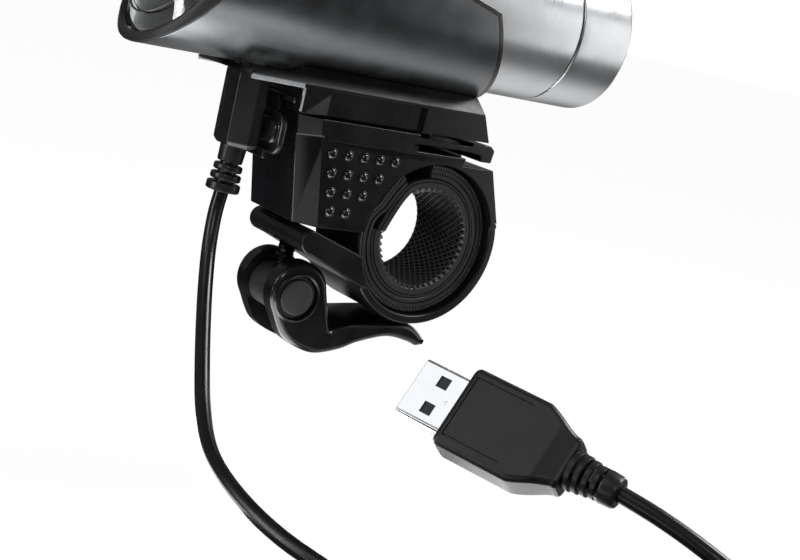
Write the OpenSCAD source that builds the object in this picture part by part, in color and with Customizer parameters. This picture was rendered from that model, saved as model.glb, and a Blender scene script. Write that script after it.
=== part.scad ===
// Bike headlight: a tubular lamp on a shoe that slides forward off a handlebar bracket,
// with a cam-lever clamp, rubber bar pads and a charging lead in the lamp's socket.
// The origin is the middle of the handlebar, +X is the beam, +Y the rider's left, +Z up.

/* [Handlebar clamp] */
// Diameter of the handlebar
bar_d = 22.2; // [20:0.1:26]
// Thickness of the inner rubber strip
inner_pad_t = 3.1; // [1.5:0.1:4]
// Thickness of the outer rubber strip
outer_pad_t = 3.3; // [1.5:0.1:4]
// Width of the rubber strips along the bar
pad_w = 18.4; // [14:0.2:22]
// Thickness of the clamp band
band_t = 2; // [1.6:0.1:3]
// Width of the clamp band along the bar
band_w = 22.4; // [18:0.2:24]
// Height of the band's bending line above the bar's axis
bend_z = 5; // [2:0.5:8]
// Thickness of the clamp arm at its front edge
arm_t = 5.4; // [3:0.1:6]
// Gap between the clamp arm and the block above it
arm_gap = 0.7; // [0.5:0.1:4]

/* [Bracket] */
// Width of the bracket along the bar
bracket_w = 24; // [22:0.5:30]
// Height of the bracket's deck above the bar's axis
deck_z = 24; // [23.5:0.5:30]
// Height of the deck's side band
deck_t = 4.5; // [4:0.1:6]
// Distance of the front face from the bar's axis, at the deck
block_front = 39.4; // [38.5:0.1:40]
// Lean of the front face
block_lean = 11; // [0:1:14]
// Height of the block's underside above the bar's axis
block_bottom = 0.4; // [0.2:0.1:3]
// Step between the deck's side band and the block below it
deck_step = 0.4; // [0.2:0.1:1]
// Size of the chamfer on the left front corner
front_chamfer = 4; // [2:0.1:5]
// Size of the chamfer on the right front corner
far_chamfer = 1; // [0.5:0.1:4]
// Diameter of the grip bumps
bump_d = 2.3; // [1.5:0.1:3]
// Distance between the grip bumps
bump_pitch = 4.2; // [3.5:0.1:5]
// Height of the grip bumps
bump_h = 0.6; // [0.3:0.1:1]
// Width of the rail's stem
rail_stem_w = 7; // [5:0.5:9]
// Width of the rail's head
rail_head_w = 12; // [10:0.5:14]
// Height of the rail's head
rail_head_t = 2; // [1.5:0.1:2.4]
// Length of the rail
rail_l = 22; // [16:0.5:24]

/* [Clamp lever] */
// Distance of the clamp bolt from the bar's axis
bolt_x = 29.8; // [28:0.1:31]
// Diameter of the clamp bolt
bolt_d = 4; // [3:0.1:5]
// Height of the barrel's axis, below the bar's axis
barrel_drop = 16.4; // [15:0.1:18]
// Diameter of the barrel
barrel_d = 10; // [8:0.1:11]
// Width of the lever along the bar
lever_w = 17.4; // [15:0.2:20]
// Gap between the lever's two cheeks
lever_gap = 9; // [6:0.2:10]
// Radius of the cam cheeks
cam_r = 7.2; // [6.6:0.1:7.4]
// Offset of the cam cheeks from the barrel's axis
cam_offset = 1.1; // [0.5:0.1:1.2]
// Reach of the lever from the barrel's axis
lever_l = 38.3; // [33:0.1:40]
// Thickness of the lever's handle at its waist
lever_t = 3.6; // [3:0.1:5]

/* [Lamp] */
// Height of the lamp's axis above the bracket's deck
lamp_rise = 29; // [28.5:0.5:33]
// Diameter of the aluminium tube
tube_d = 36; // [35:0.1:36.6]
// Wall of the aluminium tube
tube_wall = 1.6; // [1:0.1:2]
// Diameter of the head sleeve
sleeve_d = 42; // [40:0.1:44]
// Wall of the head sleeve round the optics
head_wall = 1; // [0.8:0.1:1.4]
// Front end of the lamp
front_x = 77.5; // [75:0.5:84]
// Radius of the front's bow, seen from above
bow_r = 26; // [25:0.5:32]
// Back end of the tube, at the tail groove
groove_x = -24.4; // [-30:0.1:-22]
// Width of the tail groove
groove_w = 0.8; // [0.6:0.1:1.5]
// Length of the tail cap behind the groove
tail_l = 15.7; // [14:0.1:20]
// Place of the sleeve's back edge at the lamp's axis
sleeve_back = 2.7; // [0:0.1:6]
// Rake of the sleeve's back edge
rake = 25; // [15:1:30]
// Thickness of the lens
lens_t = 2; // [1.5:0.1:2.5]
// Diameter of the power button
button_d = 11; // [9:0.2:12]
// Travel of the power button
button_travel = 0.8; // [0.4:0.1:1]

/* [Lamp shoe] */
// Width of the shoe
shoe_w = 24; // [23:0.5:26]
// Width of the shoe where it meets the sleeve
shoe_top_w = 19; // [17:0.5:21]
// Height of the shoe's lower band
shoe_band_h = 6.1; // [5.5:0.1:7]
// Front face of the shoe's lower band
shoe_front = 41.5; // [41.2:0.1:42]
// Length of the hood over the charging socket
hood_l = 13.5; // [13:0.1:15]
// Wall of the hood
hood_wall = 1.3; // [1:0.1:1.6]
// Depth of the grip recess in the shoe's sides
recess_depth = 1; // [0.5:0.1:1.5]

/* [Charging lead] */
// Width of the charging plug's body
plug_w = 10.4; // [9.6:0.1:11]
// Thickness of the charging plug's body
plug_t = 6.2; // [5.6:0.1:6.6]
// Length of the charging plug's body
plug_l = 16.4; // [14:0.2:18]
// Diameter of the charging cord
cord_d = 3.2; // [2.4:0.1:3.6]
// Length of the power plug's moulded body
power_body_l = 25; // [20:0.5:30]
// Width of the power plug's moulded body
power_body_w = 17; // [14:0.2:18]
// Thickness of the power plug's moulded body
power_body_t = 8; // [7:0.2:10]
// Length of the power plug's bare shell
power_shell_l = 10; // [8:0.5:14]

/* [Hidden] */
$fn = 64;

// Clearances: between pieces of one body, running fits, and pieces that pass each other
seat = 0.05;
run = 0.1;
pass = 0.3;
// Reach of a cut past the face it opens
over = 1;
// Length of a cutting tool that goes right through the object
through = 200;

// Clamp radii, from the bar outwards
bar_r = bar_d / 2;
inner_pad_r = bar_r + inner_pad_t;
outer_pad_in = inner_pad_r + run;
outer_pad_r = outer_pad_in + outer_pad_t;
band_in = outer_pad_r + pass;
band_out = band_in + band_t;
band_mid = band_in + band_t / 2;
bend_x = -sqrt(band_mid * band_mid - bend_z * bend_z);
bend_r = band_t / 2;
// Split ends of the rubber strips, as angles about the bar from the front
inner_split = [2, 4.5];
outer_split = [58, 84];
sector_steps = 8;

// Bracket
rear_foot_x = -sqrt(band_out * band_out - bend_z * bend_z);
shoulder_x = -14;
shoulder_z = deck_z - 5.7;
latch_pivot_x = 9.8;
latch_pivot_z = deck_z - 1.6;
latch_bead_r = 1.1;
latch_t = 1.4;
latch_side_gap = 0.5;
tab_front = -6;
tab_back = -13.2;
tab_leg = 3.6;
tab_drop = 4.1;
tab_sink = 0.2;
tab_slope = 0.6;
tab_edge = 1.2;
tab_lean = 0.4;
latch_mouth = 0.8;
latch_floor = latch_pivot_z - 2.2;
tooth_l = 4;
tooth_h = 1.6;
rail_back = 12;
rail_z = deck_z + 2.4;
nut_flats = 7;
nut_h = 3.2;
nut_z = 8;
bolt_top = 14;
bolt_clear = 0.25;
bump_rows = 4;
bump_row_z = block_bottom + 3.9;
bump_edge = 3.1;
bump_foot = 0.2;
bump_crown = 0.3;
// Clamp arm: set-back of its round front, and where it meets the band, as angles below the front
arm_inset = 1;
arm_nose_steps = 12;
arm_root = 16;
arm_heel = 37;
arm_hole_gap = 1.2;
// Gap at the band's bending line
bend_gap = 0.25;
// Angles about the bar between which the band reaches up to its bending line
bend_reach = [160, 185];

// Lever
barrel_z = -barrel_drop;
cam_lead = 35;
cam_leave = -40;
cam_meet = 172;
cam_lap = 0.9;
// Lever's side outline about the barrel's axis: round the heel, and on top in front of the cheeks
heel_line = [[1.5, -9], [-3.4, -11.7], [-8.3, -12.7], [-14.4, -11.5], [-19.4, -9.5]];
top_line = [[-17.3, -5], [-13.8, -5.8], [-10.7, -6.9]];
// Middle of the handle's waist, and the handle's down-turned tip from the lever's end
waist = [-27, -6];
tip_under = [[5, -8.7], [2.4, -9.6]];
tip_nose = [0, -8.2];
tip_top = [[3.1, -5.6], [6.6, -4.2]];
lever_steps = 4;
fork_depth = 11;

// Lamp
lamp_z = deck_z + lamp_rise;
tube_r = tube_d / 2;
tube_in = tube_r - tube_wall;
sleeve_r = sleeve_d / 2;
head_in = sleeve_r - head_wall;
bow_x = front_x - bow_r;
tube_front = 46;
trim_shift = [-1.4, 0.8];
trim_inset = 0.5;
sweep_foot = [10.5, 2];
sweep_knee = [32, 8];
sweep_top = [46, 26];
bezel_lip_t = 1.2;
bezel_lip = 1.2;
bezel_wall = 0.6;
bezel_back = 60;
seal_t = 0.8;
seal_w = 1.4;
lens_r = head_in - bezel_wall - 2 * seat;
reflector_back = tube_front + 1.8;
seal_back_r = bow_r - bezel_lip_t - lens_t - seal_t;
reflector_front = bow_x + sqrt(pow(seal_back_r, 2) - pow(lens_r, 2)) - seat;
reflector_neck = 4.5;
reflector_mouth = lens_r - 2.2;
reflector_wall = 1.2;
reflector_rings = 8;
heat_sink_l = 8;
led_board_r = 10;
led_board_t = 1.6;
led_size = 5;
led_base_t = 0.9;
led_dome_r = 1.8;
wire_r = 0.5;
wire_y = 7;
driver_gap = 4.4;
driver_x = tube_front - heat_sink_l - driver_gap;
driver_t = 1.6;
switch_room = 7.2;
cell_r = tube_in - switch_room;
cell_l = 60;
front_contact_l = 3.4;
cell_front = driver_x - front_contact_l;
cell_back = cell_front - cell_l;
contact_r = 3;
spigot_l = 8;
spigot_wall = 1.6;
tail_front = groove_x - groove_w;
tail_back = tail_front - tail_l;
tail_wall = 2.4;
tail_edge = 1.2;
tail_seal_sink = 0.6;
spring_inset = 1;
carrier_back = groove_x + spigot_l + over;
button_x = 14;
button_flange = 1.1;
button_flange_t = 0.8;
button_rise = 1;
button_edge = 0.5;
button_taper = 0.8;
button_flange_z = sqrt(pow(tube_in, 2) - pow(button_d / 2 + button_flange, 2)) - pass - button_flange_t;
pocket_r = button_d / 2 + button_flange + pass;
switch_gap = 0.2;
switch_t = 1.4;
switch_size = 6;
switch_board_t = 0.8;
switch_z = button_flange_z - button_travel - switch_gap - switch_t;
pocket_floor = switch_z - switch_board_t;

// Shoe
shoe_z = deck_z + 0.5;
shoe_band_z = shoe_z + shoe_band_h;
shoe_top_z = lamp_z - sqrt(pow(sleeve_r, 2) - pow(shoe_top_w / 2, 2));
hood_front = shoe_front + hood_l;
hood_rake = 3.6;
recess_back = 9;
recess_front = 34;
ramp_l = 6;
recess_top = 0.5;
ramp_edge = 0.4;
screw_r = 1;
screw_head_r = 1.7;
screw_head_t = 1.2;
screw_sink = 0.4;
screw_y = 8.2;
screw_xs = [2, 24];
screw_tip_gap = 1.2;
flap_w = 19.4;
flap_bead_r = 0.9;
flap_x = shoe_front - 0.4;
flap_z = shoe_z + 2.2;
flap_t = 1.3;
flap_l = 12.9;
flap_slot = 1.4;
flap_stand = 0.5;
flap_neck_t = 1;
flap_boss = [15, 7.4, 0.5];
flap_tab = [8, 1.6];
flap_nose = 0.2;
flap_boss_lift = 2;
nose_half = 2;
nose_flat = 0.8;

// Charging plug and socket
plug_x = shoe_front + 6.9;
socket_drop = 0.8;
socket_mouth = lamp_z - sleeve_r - socket_drop;
plug_gap = 0.8;
plug_top = socket_mouth - plug_gap;
plug_bottom = plug_top - plug_l;
plug_edge = 1.2;
panel_depth = 0.4;
panel_side = 2;
panel_foot = 4;
panel_head = 2;
socket_size = [2.8, 7.4];
socket_wall = 0.3;
socket_h = 5.6;
tongue_size = [0.6, 5];
tongue_inset = 1;
tip_gap = 0.15;
tip_wall = 0.3;
tip_l = 5;
board_l = 6.4;
board_w = 14;
board_t = 1.2;
relief_r = 2.6;
relief_neck_r = 2.1;
relief_flange_r = 3.5;
relief_l = 10;
relief_ribs = 3;
relief_plain = 2.5;
relief_growth = 0.2;
relief_lean = 4;

// Route of the charging cord's middle line, from the charging plug to the power plug
cord_start = [plug_x, 0, plug_bottom] + relief_l * [sin(relief_lean), 0, -cos(relief_lean)];
cord_end = [18.6, 104.9, -22.6];
cord_route = [cord_start, [49.8, 0.4, -1], [51, 2.8, -7.5], [52.8, 7.4, -14], [55.2, 13.8, -20.5],
              [58.3, 22.2, -27.5], [61.3, 31, -34], [63.6, 40, -39], [64, 48.5, -42], [62.8, 57.5, -44.6],
              [60.5, 66.5, -46.6], [57.2, 75.5, -48], [53, 84.5, -49.6], [47.5, 92.5, -52],
              [40, 100, -54.8], [31, 108, -57], [22, 115.5, -57.4], [13.5, 122.5, -55.4],
              [7, 129, -51.2], [3, 133, -45.5], [2.5, 134, -39], [4.5, 132, -32.5],
              [8.3, 126.7, -27.5], [12.2, 119.5, -24.7], [15.5, 112.2, -23.4], cord_end];
cord_sides = 8;
cord_steps = 3;

// Power plug, along its own axis from the cord
power_turn = [124.6, -5.8, -67];
power_relief_l = 10;
power_relief_r = [3.2, 4.2];
power_relief_ribs = 4;
power_relief_groove = 0.4;
power_shoulder = 7.5;
power_neck_w = 10.6;
power_body_edge = 1.6;
power_shell_w = 12;
power_shell_t = 4.5;
power_shell_wall = 0.35;
power_shell_seat = 6;
power_hole = 2.4;
power_hole_y = 2.9;
power_hole_x = 3.3;
power_tongue_t = 1.9;
power_tongue_inset = 1.2;
contact_w = 1.2;
contact_t = 0.2;
contact_l = 7;
contact_pitch = 2.3;
contact_count = 4;
contact_inset = 0.8;

// Place of the front face at a height, and of the raked back edge at a height
function front_at(z) = block_front - (deck_z - z) * tan(block_lean);
function rake_at(z) = sleeve_back + (z - lamp_z) * tan(rake);

// Points of a smooth line through a list of points
function along(points, i, t) =
    let (last = len(points) - 1,
         p0 = points[max(i - 1, 0)],
         p1 = points[i],
         p2 = points[min(i + 1, last)],
         p3 = points[min(i + 2, last)])
    p1 + t / 2 * (p2 - p0 + t * (2 * p0 - 5 * p1 + 4 * p2 - p3 + t * (3 * p1 - p0 - 3 * p2 + p3)));
function smooth_line(points, steps) =
    concat([for (i = [0 : len(points) - 2], k = [0 : steps - 1]) along(points, i, k / steps)],
           [points[len(points) - 1]]);

// Shapes seen from the side, as wide as w along the bar
module slab(w) {
    rotate([90, 0, 0]) linear_extrude(w, center = true) children();
}

// Shapes seen from the front, from x0 to x1
module bar_x(x0, x1) {
    translate([x0, 0, 0]) rotate([90, 0, 90]) linear_extrude(x1 - x0) children();
}

// Round rod on the lamp's axis, from x0 to x1
module rod_x(x0, x1, r) {
    translate([x0, 0, lamp_z]) rotate([0, 90, 0]) cylinder(h = x1 - x0, r = r);
}

// Round tube on the lamp's axis
module tube_x(x0, x1, outer, inner) {
    difference() {
        rod_x(x0, x1, outer);
        rod_x(x0 - over, x1 + over, inner);
    }
}

// Round rod along the bar
module rod_y(x, z, w, r) {
    translate([x, 0, z]) rotate([90, 0, 0]) cylinder(h = w, r = r, center = true);
}

// Part of a ring about the bar between two angles, going up from the front
module ring_sector(outer, inner, from, to) {
    difference() {
        intersection() {
            circle(outer);
            polygon(concat([[0, 0]], [for (i = [0 : sector_steps])
                                          let (a = from + (to - from) * i / sector_steps)
                                              2 * outer * [cos(a), sin(a)]]));
        }
        circle(inner);
    }
}

// Solid behind the lamp's bowed front, moved back by depth
module behind_bow(depth) {
    translate([bow_x, 0, lamp_z]) cylinder(h = 4 * sleeve_r, r = bow_r - depth, center = true);
}

// Bowed plate of radius r at a depth behind the front
module bowed_plate(depth, thickness, r) {
    intersection() {
        rod_x(bow_x, front_x + over, r);
        difference() {
            behind_bow(depth);
            behind_bow(depth + thickness);
        }
    }
}

// Rectangle with chamfered corners
module cut_rectangle(size, edge) {
    a = size[0] / 2;
    b = size[1] / 2;
    polygon([[a - edge, b], [a, b - edge], [a, edge - b], [a - edge, -b],
             [edge - a, -b], [-a, edge - b], [-a, b - edge], [edge - a, b]]);
}

// Outline of the bracket from the side
module bracket_outline() {
    polygon([[block_front, deck_z], [front_at(block_bottom), block_bottom], [0, block_bottom],
             [0, bend_z], [rear_foot_x, bend_z], [shoulder_x, shoulder_z], [tab_back, shoulder_z],
             [tab_back, deck_z]]);
}

// Cuts that slope the bracket's front corners along the leaning face
module front_corner_cuts(half_w) {
    sizes = [front_chamfer, far_chamfer];
    for (side = [0, 1])
        mirror([0, side, 0])
            translate([block_front, half_w, deck_z])
                rotate([0, block_lean, 0])
                    rotate([0, 0, 45])
                        translate([-sizes[side] / sqrt(2), -block_front / 2, -deck_z * 2])
                            cube([block_front, block_front, deck_z * 4]);
}

// Rows of grip bumps on the block's sides, each row one shorter than the row above it
module grip_bumps(half_w) {
    for (row = [0 : bump_rows - 1])
        let (z = bump_row_z + row * bump_pitch,
             count = row == 0 ? 2 : row + 2,
             x = front_at(z) - front_chamfer - bump_edge)
            for (i = [0 : count - 1], side = [-1, 1])
                translate([x - i * bump_pitch, side * (half_w - over), z])
                    rotate([-90 * side, 0, 0])
                        cylinder(h = over + bump_h, r1 = bump_d / 2 + bump_foot,
                                 r2 = bump_d / 2 - bump_crown);
}

// Rail that the shoe slides on, grown by a gap
module rail(gap, x0, x1) {
    bar_x(x0, x1)
        polygon([[-rail_stem_w / 2 - gap, deck_z - over], [rail_stem_w / 2 + gap, deck_z - over],
                 [rail_stem_w / 2 + gap, rail_z - gap], [rail_head_w / 2 + gap, rail_z - gap],
                 [rail_head_w / 2 + gap, rail_z + rail_head_t + gap],
                 [-rail_head_w / 2 - gap, rail_z + rail_head_t + gap],
                 [-rail_head_w / 2 - gap, rail_z - gap], [-rail_stem_w / 2 - gap, rail_z - gap]]);
}

// Bracket block with its deck, rail, rear wall and pockets
module bracket_body() {
    block_w = bracket_w - 2 * deck_step;
    color("#232527")
    difference() {
        union() {
            difference() {
                slab(bracket_w) bracket_outline();
                front_corner_cuts(bracket_w / 2);
                for (side = [-1, 1])
                    translate([-through / 2, side * (block_w / 2 + bracket_w) - bracket_w, -through])
                        cube([through, 2 * bracket_w, through + deck_z - deck_t]);
            }
            grip_bumps(block_w / 2);
            rail(0, rail_back, rail_back + rail_l);
        }
        rod_y(0, 0, through, band_in);
        rod_y(bend_x, bend_z, through, bend_r + run);
        rod_y(latch_pivot_x, latch_pivot_z, through, latch_bead_r + run);
        slab(through)
            polygon([[latch_pivot_x - latch_mouth, latch_floor], [latch_pivot_x - latch_mouth, deck_z + over],
                     [tab_back - over, deck_z + over], [tab_back - over, shoulder_z],
                     [tab_front + over, shoulder_z], [tab_front + over, latch_floor]]);
        translate([bolt_x, 0, block_bottom - over])
            cylinder(h = bolt_top + over - block_bottom, r = bolt_d / 2 + bolt_clear);
        translate([0, -nut_flats / 2 - run, nut_z - run])
            cube([bolt_x + nut_flats / sqrt(3) + run, nut_flats + 2 * run, nut_h + 2 * run]);
    }
}

// Rubber strip wound on the bar
module inner_pad() {
    color("#2b2d2e")
    slab(pad_w) ring_sector(inner_pad_r, bar_r, inner_split[1], inner_split[0] + 360);
}

// Rubber strip that lines the clamp
module outer_pad() {
    color("#303233")
    slab(pad_w) ring_sector(outer_pad_r, outer_pad_in, outer_split[1], outer_split[0] + 360);
}

// Captive nut in the block
module clamp_nut() {
    color("silver")
    translate([bolt_x, 0, nut_z])
    difference() {
        cylinder(h = nut_h, r = nut_flats / sqrt(3), $fn = 6);
        translate([0, 0, -over]) cylinder(h = nut_h + 2 * over, r = bolt_d / 2 + seat);
    }
}

// Clamp bolt, screwed into the barrel below and the nut above
module clamp_bolt() {
    color("silver")
    translate([bolt_x, 0, barrel_z]) cylinder(h = bolt_top - over - barrel_z, r = bolt_d / 2);
}

// Barrel that the lever turns on
module barrel_pin() {
    color("#8d9092")
    difference() {
        rod_y(bolt_x, barrel_z, lever_w, barrel_d / 2);
        translate([bolt_x, 0, barrel_z]) cylinder(h = barrel_d, r = bolt_d / 2 + seat);
    }
}

// Clamp band below the bending line, with the arm that the lever draws up
module clamp_jaw() {
    arm_z = block_bottom - arm_gap;
    nose = [front_at(block_bottom) - arm_inset - arm_t / 2, arm_z - arm_t / 2];
    top_foot = band_in * cos(arm_root);
    low_foot = band_out * cos(arm_heel);
    color("#232527")
    difference() {
        union() {
            slab(band_w) ring_sector(band_out, band_in, 180, 360 - arm_root);
            intersection() {
                slab(band_w) ring_sector(band_out, band_in, bend_reach[0], bend_reach[1]);
                translate([-through, -through / 2, -through + bend_z - bend_gap])
                    cube([through, through, through]);
            }
            rod_y(bend_x, bend_z, band_w, bend_r);
            slab(bracket_w)
                difference() {
                    polygon(concat([for (i = [0 : arm_nose_steps])
                                        let (a = 90 - 180 * i / arm_nose_steps)
                                            nose + arm_t / 2 * [cos(a), sin(a)]],
                                   [[low_foot, -band_out * sin(arm_heel)],
                                    [low_foot - band_t, -band_out * sin(arm_heel)],
                                    [top_foot - band_t, -band_in * sin(arm_root)],
                                    [top_foot, -band_in * sin(arm_root)]]));
                    circle(band_in);
                }
        }
        translate([bolt_x, 0, -through / 2]) cylinder(h = through, r = bolt_d / 2 + arm_hole_gap);
    }
}

// Outline of the lever's heel and handle from the side, about the barrel's axis
module handle_outline(cam) {
    end = [-lever_l, 0];
    half = [0, lever_t / 2];
    leave = cam + cam_lap * cam_r * [cos(cam_leave), sin(cam_leave)];
    meet = cam + cam_lap * cam_r * [cos(cam_meet), sin(cam_meet)];
    under = concat([leave], heel_line, [waist - half], [for (p = tip_under) end + p]);
    top = concat([end + tip_nose], [for (p = tip_top) end + p], [waist + half], top_line);
    polygon(concat(smooth_line(under, lever_steps), smooth_line(top, lever_steps), [meet]));
}

// Cam lever: two cheeks on the barrel and a handle as wide as both
module cam_lever() {
    cam = cam_offset * [-sin(cam_lead), cos(cam_lead)];
    color("#1d1f20")
    difference() {
        translate([bolt_x, 0, barrel_z])
            union() {
                rod_y(cam[0], cam[1], lever_w, cam_r);
                slab(lever_w) handle_outline(cam);
            }
        rod_y(bolt_x, barrel_z, through, barrel_d / 2 + seat);
        translate([bolt_x - fork_depth, -lever_gap / 2, barrel_z - through / 2])
            cube([through, lever_gap, through]);
    }
}

// Sprung release tongue with a thumb tab behind and a tooth in the shoe's groove
module release_latch() {
    tongue_w = bracket_w - 2 * latch_side_gap;
    tongue_z = latch_pivot_z - latch_t / 2;
    color("#2a2c2e")
    union() {
        rod_y(latch_pivot_x, latch_pivot_z, tongue_w, latch_bead_r);
        slab(tongue_w)
            polygon([[latch_pivot_x, tongue_z + latch_t], [tab_front, tongue_z + latch_t],
                     [tab_front - tab_slope, deck_z - tab_sink], [tab_back + tab_edge, deck_z - tab_sink],
                     [tab_back, deck_z - tab_edge], [tab_back + tab_lean, deck_z - tab_drop],
                     [tab_back + tab_leg, deck_z - tab_drop], [tab_back + tab_leg, tongue_z - tab_lean],
                     [tab_front, tongue_z], [latch_pivot_x, tongue_z]]);
        slab(rail_stem_w)
            polygon([[0, tongue_z], [tooth_l, tongue_z], [tooth_l, deck_z], [0, deck_z + tooth_h]]);
    }
}

// Outline of the shoe from the front
module shoe_section() {
    polygon([[-shoe_w / 2, shoe_z], [shoe_w / 2, shoe_z], [shoe_w / 2, shoe_band_z],
             [shoe_top_w / 2, shoe_top_z], [-shoe_top_w / 2, shoe_top_z], [-shoe_w / 2, shoe_band_z]]);
}

// Outline of the shoe from the side
module shoe_outline() {
    polygon([[rake_at(shoe_z), shoe_z], [shoe_front, shoe_z], [shoe_front, flap_z - nose_half],
             [shoe_front + flap_nose, flap_z - nose_flat], [shoe_front + flap_nose, flap_z + nose_flat],
             [shoe_front, flap_z + nose_half], [shoe_front, shoe_band_z],
             [hood_front, shoe_band_z], [hood_front - hood_rake, shoe_top_z],
             [rake_at(shoe_top_z), shoe_top_z]]);
}

// Grip recess in one side of the shoe, with its sloped three-cornered end
module side_recess() {
    y = shoe_w / 2 - recess_depth;
    translate([recess_back, y, shoe_z - over])
        cube([recess_front - recess_back, shoe_w, shoe_band_h + over - recess_top]);
    intersection() {
        translate([0, 0, shoe_z - over])
            linear_extrude(shoe_band_h + over)
                polygon([[recess_front - over, y], [recess_front, y], [recess_front + ramp_l, shoe_w / 2],
                         [recess_front + ramp_l, shoe_w], [recess_front - over, shoe_w]]);
        slab(through)
            polygon([[recess_front - over, shoe_z - over], [recess_front + ramp_l, shoe_z - over],
                     [recess_front + ramp_l, shoe_z + ramp_edge],
                     [recess_front, shoe_band_z - recess_top - ramp_edge],
                     [recess_front - over, shoe_band_z - recess_top - ramp_edge]]);
    }
}

// Shoe under the lamp: rail groove, hood over the charging socket and screw holes
module lamp_shoe() {
    color("#3a3d40")
    difference() {
        intersection() {
            bar_x(-through, through) shoe_section();
            slab(through) shoe_outline();
        }
        rod_x(-through, through, sleeve_r);
        rail(pass, -through, rail_back + rail_l + pass);
        translate([shoe_front, -shoe_w / 2 + hood_wall, flap_z + nose_half])
            cube([hood_l - hood_wall, shoe_w - 2 * hood_wall, through]);
        rod_y(flap_x, flap_z, flap_w + 2 * run, flap_bead_r + run);
        translate([flap_x, -flap_w / 2 - run, flap_z - flap_slot / 2])
            cube([through, flap_w + 2 * run, flap_slot]);
        for (side = [0, 1])
            mirror([0, side, 0])
                side_recess();
        for (x = screw_xs, y = [-screw_y, screw_y])
            translate([x, y, shoe_z - over]) {
                cylinder(h = through, r = screw_r + seat);
                cylinder(h = over + screw_sink + screw_head_t, r = screw_head_r + run);
            }
    }
}

// Four screws that hold the shoe to the sleeve
module shoe_screws() {
    tip = lamp_z - sqrt(pow(tube_r, 2) - pow(screw_y, 2)) - screw_tip_gap;
    color("#6c6f72")
    for (x = screw_xs, y = [-screw_y, screw_y])
        translate([x, y, shoe_z + screw_sink]) {
            cylinder(h = screw_head_t, r = screw_head_r);
            cylinder(h = tip - shoe_z - screw_sink, r = screw_r);
        }
}

// Metal shell of the charging socket
module charging_socket() {
    color("#b9bcbe")
    translate([plug_x, 0, socket_mouth])
    difference() {
        linear_extrude(socket_h) square(socket_size, center = true);
        translate([0, 0, -over])
            linear_extrude(socket_h + over - socket_wall)
                square(socket_size - 2 * socket_wall * [1, 1], center = true);
    }
}

// Contact tongue inside the charging socket
module socket_tongue() {
    color("#1a1a1a")
    translate([plug_x, 0, socket_mouth + tongue_inset])
        linear_extrude(socket_h - tongue_inset - socket_wall) square(tongue_size, center = true);
}

// Circuit board that the socket is soldered to
module charging_board() {
    color("#1f5a34")
    translate([tube_front + seat, -board_w / 2, socket_mouth + socket_h])
        cube([board_l, board_w, board_t]);
}

// Side outline of what the sleeve covers, in front of its swept back edge
module sleeve_cover(shift) {
    translate(shift)
        polygon([[rake_at(0), 0], [sleeve_back, lamp_z], [sweep_foot[0], lamp_z + sweep_foot[1]],
                 [sweep_knee[0], lamp_z + sweep_knee[1]], [sweep_top[0], lamp_z + sweep_top[1]],
                 [through, lamp_z + sweep_top[1]], [through, 0]]);
}

// Dark sleeve round the front of the tube
module head_sleeve() {
    color("#4a4e52")
    difference() {
        intersection() {
            rod_x(-through / 2, through, sleeve_r);
            slab(through) sleeve_cover([0, 0]);
            union() {
                behind_bow(0);
                translate([bow_x - through, -through / 2, 0]) cube([through, through, through]);
            }
        }
        rod_x(-through, tube_front + over, tube_r + seat);
        rod_x(tube_front, through, head_in);
        translate([plug_x, 0, lamp_z - sleeve_r - over])
            linear_extrude(sleeve_r / 2) square(socket_size + 2 * run * [1, 1], center = true);
        for (x = screw_xs, y = [-screw_y, screw_y])
            translate([x, y, shoe_z]) cylinder(h = lamp_z - shoe_z - tube_r / 2, r = screw_r + seat);
    }
}

// Black rubber trim along the sleeve's back edge
module sleeve_trim() {
    color("#111213")
    difference() {
        intersection() {
            tube_x(-through / 2, through, sleeve_r - trim_inset, tube_r + seat);
            slab(through)
                difference() {
                    sleeve_cover(trim_shift);
                    sleeve_cover([0, 0]);
                }
        }
        translate([tube_front, -through / 2, 0]) cube(through);
    }
}

// Aluminium body tube
module body_tube() {
    color("#c9ccce")
    difference() {
        tube_x(groove_x, tube_front, tube_r, tube_in);
        translate([button_x, 0, lamp_z]) cylinder(h = through, r = button_d / 2 + run);
    }
}

// Black ring that holds the lens
module bezel() {
    color("#141516")
    difference() {
        intersection() {
            rod_x(bezel_back, front_x + over, head_in - seat);
            behind_bow(0);
        }
        rod_x(-through, through, head_in - bezel_lip);
        intersection() {
            rod_x(-through, through, head_in - bezel_wall);
            behind_bow(bezel_lip_t);
        }
    }
}

// Clear bowed lens
module lens() {
    color("#dfe8ee", 0.5)
    bowed_plate(bezel_lip_t, lens_t, lens_r);
}

// Seal behind the lens
module lens_seal() {
    color("#1a1a1a")
    difference() {
        bowed_plate(bezel_lip_t + lens_t, seal_t, lens_r);
        rod_x(-through, through, lens_r - seal_w);
    }
}

// Bright cup round the emitter
module reflector() {
    function cup_r(t) = sqrt(pow(reflector_neck, 2) + t * (pow(reflector_mouth, 2) - pow(reflector_neck, 2)));
    length = reflector_front - reflector_back;
    steps = [for (i = [0 : reflector_rings]) i / reflector_rings];
    color("#e2e4e6")
    translate([reflector_back, 0, lamp_z])
        rotate([0, 90, 0])
            rotate_extrude()
                polygon(concat([for (t = steps) [cup_r(t), t * length]],
                               [[lens_r - seat, length], [lens_r - seat, length - reflector_wall],
                                [reflector_mouth + reflector_wall, length - reflector_wall]],
                               [for (i = [1 : reflector_rings]) let (t = 1 - i / reflector_rings)
                                   [cup_r(t) + reflector_wall, t * length]]));
}

// Board that carries the emitter
module led_board() {
    color("#e8e8e4")
    difference() {
        rod_x(tube_front, tube_front + led_board_t, led_board_r);
        for (y = [-wire_y, wire_y])
            translate([tube_front - over, y, lamp_z]) rotate([0, 90, 0])
                cylinder(h = led_board_t + 2 * over, r = wire_r + seat);
    }
}

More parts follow.
